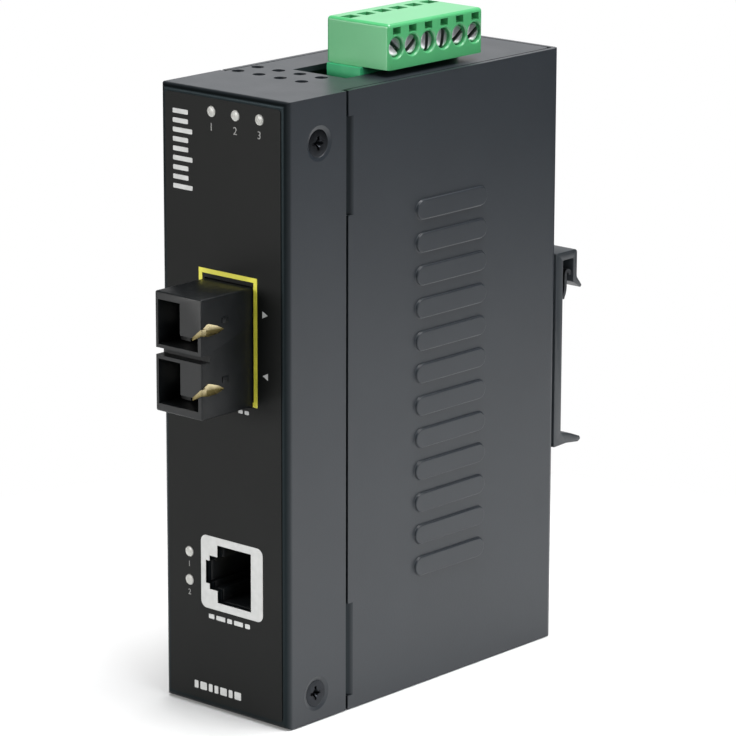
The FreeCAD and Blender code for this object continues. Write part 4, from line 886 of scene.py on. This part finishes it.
def pole_cuts(cutter, y, cage_low, cage_high):
    """What one pole takes out of the head."""
    right, top = plug_high.x, plug_high.z
    # the cage's chamber, the screw's well with its rim, and the bore between them
    block(cutter, (cage_low.x - 0.2, cage_low.y - 0.12, cage_low.z - 0.12),
          (cage_high.x + 2.2, cage_high.y + 0.12, cage_high.z + 0.12))
    rod(cutter, (right - 2.5, y, well_z), (right + 1, y, well_z), WELL_RADIUS, WELL_RADIUS, 48)
    rod(cutter, (right - 0.3, y, well_z), (right + 0.2, y, well_z), WELL_RADIUS - 0.05, WELL_RADIUS + 0.5, 48)
    rod(cutter, (cage_high.x, y, well_z), (right, y, well_z), 1.35, 1.35, 32)
    # the wire funnel with its lead-in, the test hole, and the bore for the header's pin
    x = cage_low.x + 2.4
    block(cutter, (x - 1.5, y - 1.7, well_z), (x + 1.5, y + 1.7, top + 1))
    drafted(cutter, (x - 1.5, y - 1.7, top - 1.2), (x + 1.5, y + 1.7, top + 0.01), 2, 1, 0.45)
    drafted(cutter, (right - 3, y - 1.1, plug_base + 7.55), (right + 0.2, y + 1.1, plug_base + 8.85), 0, 1, 0.12)
    block(cutter, (header_x - BORE_HALF, y - BORE_HALF, plug_base - 0.1),
          (header_x + BORE_HALF, y + BORE_HALF, well_z))


def terminal_plug():
    bm, cutter = bmesh.new(), bmesh.new()
    head = block(bm, (plug_low.x, pole_ys[0] - pitch / 2, plug_base),
                 (plug_high.x, pole_ys[5] + pitch / 2, plug_high.z))
    soften(bm, edges_of(head, lambda middle, along: abs(along.z) > 0.9 or middle.z > plug_high.z - 0.1), 0.8, 5)
    for number, y in zip(POLES, pole_ys):
        pole_cuts(cutter, y, *node_box("clamp_cage_%d" % number))
    head = carved(bm, cutter)
    # the skirt below the head, bored for the pins
    skirt, bores = bmesh.new(), bmesh.new()
    block(skirt, (header_low.x + 0.95, header_low.y + 0.95, plug_low.z),
          (header_high.x - 0.95, header_high.y - 0.95, plug_base + 0.3))
    for y in pole_ys:
        block(bores, (header_x - BORE_HALF, y - BORE_HALF, plug_low.z - 1),
              (header_x + BORE_HALF, y + BORE_HALF, plug_high.z))
    poured(carved(skirt, bores), head)
    return head


even(put("plug_moulding", terminal_plug(), "terminal_green", "plug_body", body="terminal_plug",
         finish_name="terminal_green"))

# %% [markdown]
# ** Clamp screws.** Small zinc-plated slotted screws with a slight dome and a rounded rim, each left at its own
# angle by the last turn of the driver. The slot is sawn, so its walls are straight and its floor flat. The
# slot's floor is painted dark green, as painted shade and a painted reflection of the green plug, and the
# walls fade into it. The shank carries a thread, drawn as shallow rings.

# %% Clamp screws
SLOT_TURNS = (-42.0, 38.0, 86.0, 80.0, 35.0, 33.0)
SLOT_HALF, SLOT_DEPTH = 0.48, 0.95
HEAD = 1.7
THREAD_CORE, THREAD_CREST, THREAD_PITCH = 0.98, 1.2, 0.4


def clamp_screw(number):
    low, high = node_box("clamp_screw_%d" % number)
    x, y, z = node_middle("clamp_screw_%d" % number)
    bm, cutter = bmesh.new(), bmesh.new()
    profile = [(0, 0), (1.2, 0.04), (1.7, 0.13), (1.93, 0.3), (2.0, 0.52), (2.0, HEAD - 0.1), (1.9, HEAD),
               (1.2, HEAD)]
    depth = HEAD
    while depth < high.x - low.x - 0.6:
        profile += [(THREAD_CORE, depth + 0.05), (THREAD_CREST, depth + 0.22)]
        depth += THREAD_PITCH
    profile += [(0.9, high.x - low.x), (0, high.x - low.x)]
    turned(bm, profile, (high.x, y, z), (-1, 0, 0), 40)
    turn = math.radians(SLOT_TURNS[number - 1])
    for vert in block(cutter, (-SLOT_HALF, -3, -3), (SLOT_HALF, 3, SLOT_DEPTH)):
        across, along, deep = vert.co
        vert.co = (high.x - deep, y + along * math.cos(turn) - across * math.sin(turn),
                   z + along * math.sin(turn) + across * math.cos(turn))
    screw = carved(bm, cutter)
    # Painted shade: lit_share is nought on the slot's floor and one elsewhere.
    lit_share = screw.verts.layers.float.new("lit_share")
    for vert in screw.verts:
        vert[lit_share] = 0 if abs(high.x - vert.co.x - SLOT_DEPTH) < 0.02 else 1
    put("terminal_screw_%d" % number, screw, "zinc_steel", "clamp_screw_%d" % number,
        body="clamp_screw_body_%d" % number, finish_name="screw_zinc")


for number in POLES:
    clamp_screw(number)

# %% [markdown]
# ## Rail clip
# **Clip.** A length of black-coated extrusion: a plate against the case's back, a claw that opens downwards at
# its top and a short claw at its foot. An extruded profile has small radii at every corner; sawn ends are
# deburred. Countersunk holes take the three screws.

# %% Rail clip and its spring
clip_low, clip_high = node_box("rail_clip")
CLIP_PLATE, CLAW_LEG, CLAW_ROOF, CLAW_REACH, FOOT_REACH, CLIP_HOLE = 2.5, 1.3, 1.9, 7.4, 9.6, 1.5
case_back = clip_low.y - 0.05
mouth_z = clip_high.z - 7.7
clip_foot = clip_low.z + 0.3


def rail_clip():
    bm, cutter = bmesh.new(), bmesh.new()
    plate, outer, foot = case_back + CLIP_PLATE, case_back + CLAW_REACH, case_back + FOOT_REACH
    inner = outer - CLAW_LEG
    corners = [(clip_low.y, clip_foot), (plate + 2.0, clip_foot + 0.2), (foot - 0.9, clip_low.z),
               (foot, clip_low.z + 0.5), (foot - 0.3, clip_low.z + 1.2), (foot - 3.6, clip_foot + 2.2),
               (plate + 0.3, clip_foot + 2.9), (plate, clip_foot + 3.2), (plate, clip_high.z - CLAW_ROOF),
               (inner, clip_high.z - CLAW_ROOF), (inner, mouth_z + 0.4), (inner + 2.6, mouth_z - 1.4),
               (outer + 1.8, mouth_z - 0.9), (outer, mouth_z + 1.3), (outer, clip_high.z - 0.5),
               (outer - 0.5, clip_high.z), (clip_low.y, clip_high.z)]
    ring = curved_outline([(clip_low.x, y, z) for y, z in corners], 0.3, 4)
    body = outline_plate(bm, ring, (clip_high.x - clip_low.x, 0, 0))
    soften(bm, edges_of(body, lambda middle, along: abs(along.x) < 0.5), 0.12, 2)
    for x, face, z in clip_spots:
        rod(cutter, (x, plate - CLIP_HOLE, z), (x, plate + 0.01, z), CLIP_HOLE, 2 * CLIP_HOLE, 40)
        rod(cutter, (x, case_back - 1, z), (x, plate, z), CLIP_HOLE, CLIP_HOLE, 40)
    return carved(bm, cutter)


put("clip_extrusion", rail_clip(), "clip_paint", "rail_clip")

# %% [markdown]
# **Spring.** A strip of spring steel is folded into the upper claw. Its front strand is pushed by the rail's
# edge, so the clip can be hooked on from above and swung home. Bends are round, because spring steel cracks
# when it is folded sharply.

# %% Spring strip
SPRING_THICK = 0.8
spring_low, spring_high = node_box("rail_spring")


def spring_strip():
    bm = bmesh.new()
    half = SPRING_THICK / 2
    plate, leg = spring_low.y, spring_high.y
    front = plate + 1.5 - half
    path = rounded_path([(0, plate + 0.25, spring_low.z + 0.45), (0, front, spring_low.z + 2.2),
                         (0, front, spring_high.z - half), (0, leg - half, spring_high.z - half),
                         (0, leg - half, mouth_z + 2.0)], 1.1, 6)
    strip_x(bm, path, SPRING_THICK, spring_low.x, spring_high.x)
    sides = [edge for edge in bm.edges if abs((edge.verts[1].co - edge.verts[0].co).normalized().x) < 0.1
             and edge.is_manifold and edge.calc_face_angle(0) > 1.2]
    soften(bm, sides, 0.08, 2)
    return bm


even(put("spring_strip", spring_strip(), "spring_steel", "rail_spring", body="rail_spring_body"))

# %% [markdown]
# ## Floor, light and camera
# The converter stands on a plain pale floor in front of a surround that is white to the camera and dimmer as a
# fill light, so the object keeps its shading and its shadow.

# %% Surround
def mixed(tree, share, first, second):
    """One shader passing into another by a share."""
    node = add(tree, "ShaderNodeMixShader", Fac=share)
    for shader, socket in zip((first, second), node.inputs[1:]):
        tree.links.new(shader.outputs[0], socket)
    return node.outputs[0]


world = bpy.data.worlds.new("studio")
scene.world = world
world.use_nodes = True
tree = world.node_tree
tree.nodes.clear()
rays = add(tree, "ShaderNodeLightPath").outputs
seen = maths(tree, "MAXIMUM", rays["Is Camera Ray"], rays["Is Transmission Ray"])
fill = add(tree, "ShaderNodeBackground", Color=(0.86, 0.9, 0.96, 1), Strength=0.06)
white = add(tree, "ShaderNodeBackground", Color=(1, 1, 1, 1))
add(tree, "ShaderNodeOutputWorld", Surface=mixed(tree, seen, fill, white))

# %% [markdown]
# The floor is a matt pale sheet. Far away it is lifted to white for the camera so that no horizon shows; near
# the object the plain shading is kept, which carries the shadow.

# %% Floor
floor_mesh = bpy.data.meshes.new("floor")
bm = bmesh.new()
bmesh.ops.create_grid(bm, x_segments=1, y_segments=1, size=0.34)
bm.to_mesh(floor_mesh)
bm.free()
floor = bpy.data.objects.new("floor", floor_mesh)
floor.location.z = -0.0002
scene.collection.objects.link(floor)
paper = bpy.data.materials.new("floor_paper")
tree, shader = tree_and_shader(paper)
fill_in(tree, shader, Base_Color=(0.82, 0.82, 0.82, 1), Roughness=0.9, Specular_IOR_Level=0.1)
glow = add(tree, "ShaderNodeEmission", Strength=1.0)
place_at = add(tree, "ShaderNodeTexCoord").outputs["Object"]
distance = add(tree, "ShaderNodeVectorMath", operation="LENGTH", Vector=place_at).outputs["Value"]
seen = maths(tree, "MULTIPLY", add(tree, "ShaderNodeLightPath").outputs["Is Camera Ray"],
             ramp(tree, distance, 0.04, 0.16, 0, 1))
fill_in(tree, tree.nodes["Material Output"], Surface=mixed(tree, seen, shader, glow))
floor.data.materials.append(paper)
floor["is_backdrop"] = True

# %% [markdown]
# Soft area lights: a broad one overhead, a little to the right and back, which also makes the pale floor shine
# up into the lower part of the side; a low one at the left front for the panel and the prints; one at the
# right; and a weak one at the left back that draws a sheen along the top.

# %% Lights
def softbox(name, place, target, size, power, colour=(1, 1, 1)):
    light = bpy.data.lights.new(name, "AREA")
    light.shape = "RECTANGLE"
    light.size, light.size_y = size
    light.energy, light.color = power, colour
    lamp = bpy.data.objects.new(name, light)
    lamp.location = place
    lamp.rotation_euler = (target - Vector(place)).to_track_quat("-Z", "Y").to_euler()
    scene.collection.objects.link(lamp)
    lamp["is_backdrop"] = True
    print("%-10s %5.2f W" % (name, power))


middle = Vector((0, 0, 0.0675))
softbox("over", (0.15, 0.12, 1.0), middle, (0.8, 0.8), 20.0)
softbox("front_low", (-0.35, -0.85, 0.2), middle, (0.5, 0.3), 6.6, (1.0, 0.99, 0.97))
softbox("right", (0.9, -0.25, 0.5), middle, (0.5, 0.5), 3.2, (0.94, 0.98, 1.0))
softbox("back_left", (-0.6, 0.75, 0.38), middle, (0.6, 0.35), 0.66)

# %% [markdown]
# A long lens looks at the front and the right side from a little above. The camera stands on a sphere around
# the case's middle, with a slight roll and a slight shift of its seat.

# %% Camera
LENS, DISTANCE = 199.5, 0.8893
azimuth, elevation, roll = math.radians(41.64), math.radians(14.56), math.radians(0.15)
away = Vector((math.sin(azimuth) * math.cos(elevation), -math.cos(azimuth) * math.cos(elevation),
               math.sin(elevation)))
right = Vector((0, 0, 1)).cross(away).normalized()
up = away.cross(right)
turned_right = right * math.cos(roll) + up * math.sin(roll)
turned_up = away.cross(turned_right)
camera_data = bpy.data.cameras.new("camera")
camera_data.sensor_width, camera_data.lens = 36.0, LENS
camera = bpy.data.objects.new("camera", camera_data)
seat = middle + away * DISTANCE + turned_right * 0.00092 + turned_up * 0.00033
camera.matrix_world = Matrix((
    (turned_right.x, turned_up.x, away.x, seat.x),
    (turned_right.y, turned_up.y, away.y, seat.y),
    (turned_right.z, turned_up.z, away.z, seat.z),
    (0, 0, 0, 1)))
scene.collection.objects.link(camera)
scene.camera = camera
scene.view_settings.view_transform = "Standard"

# %% [markdown]
# Last, the box of the remodelled object is measured.

# %% Measure
low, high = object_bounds()
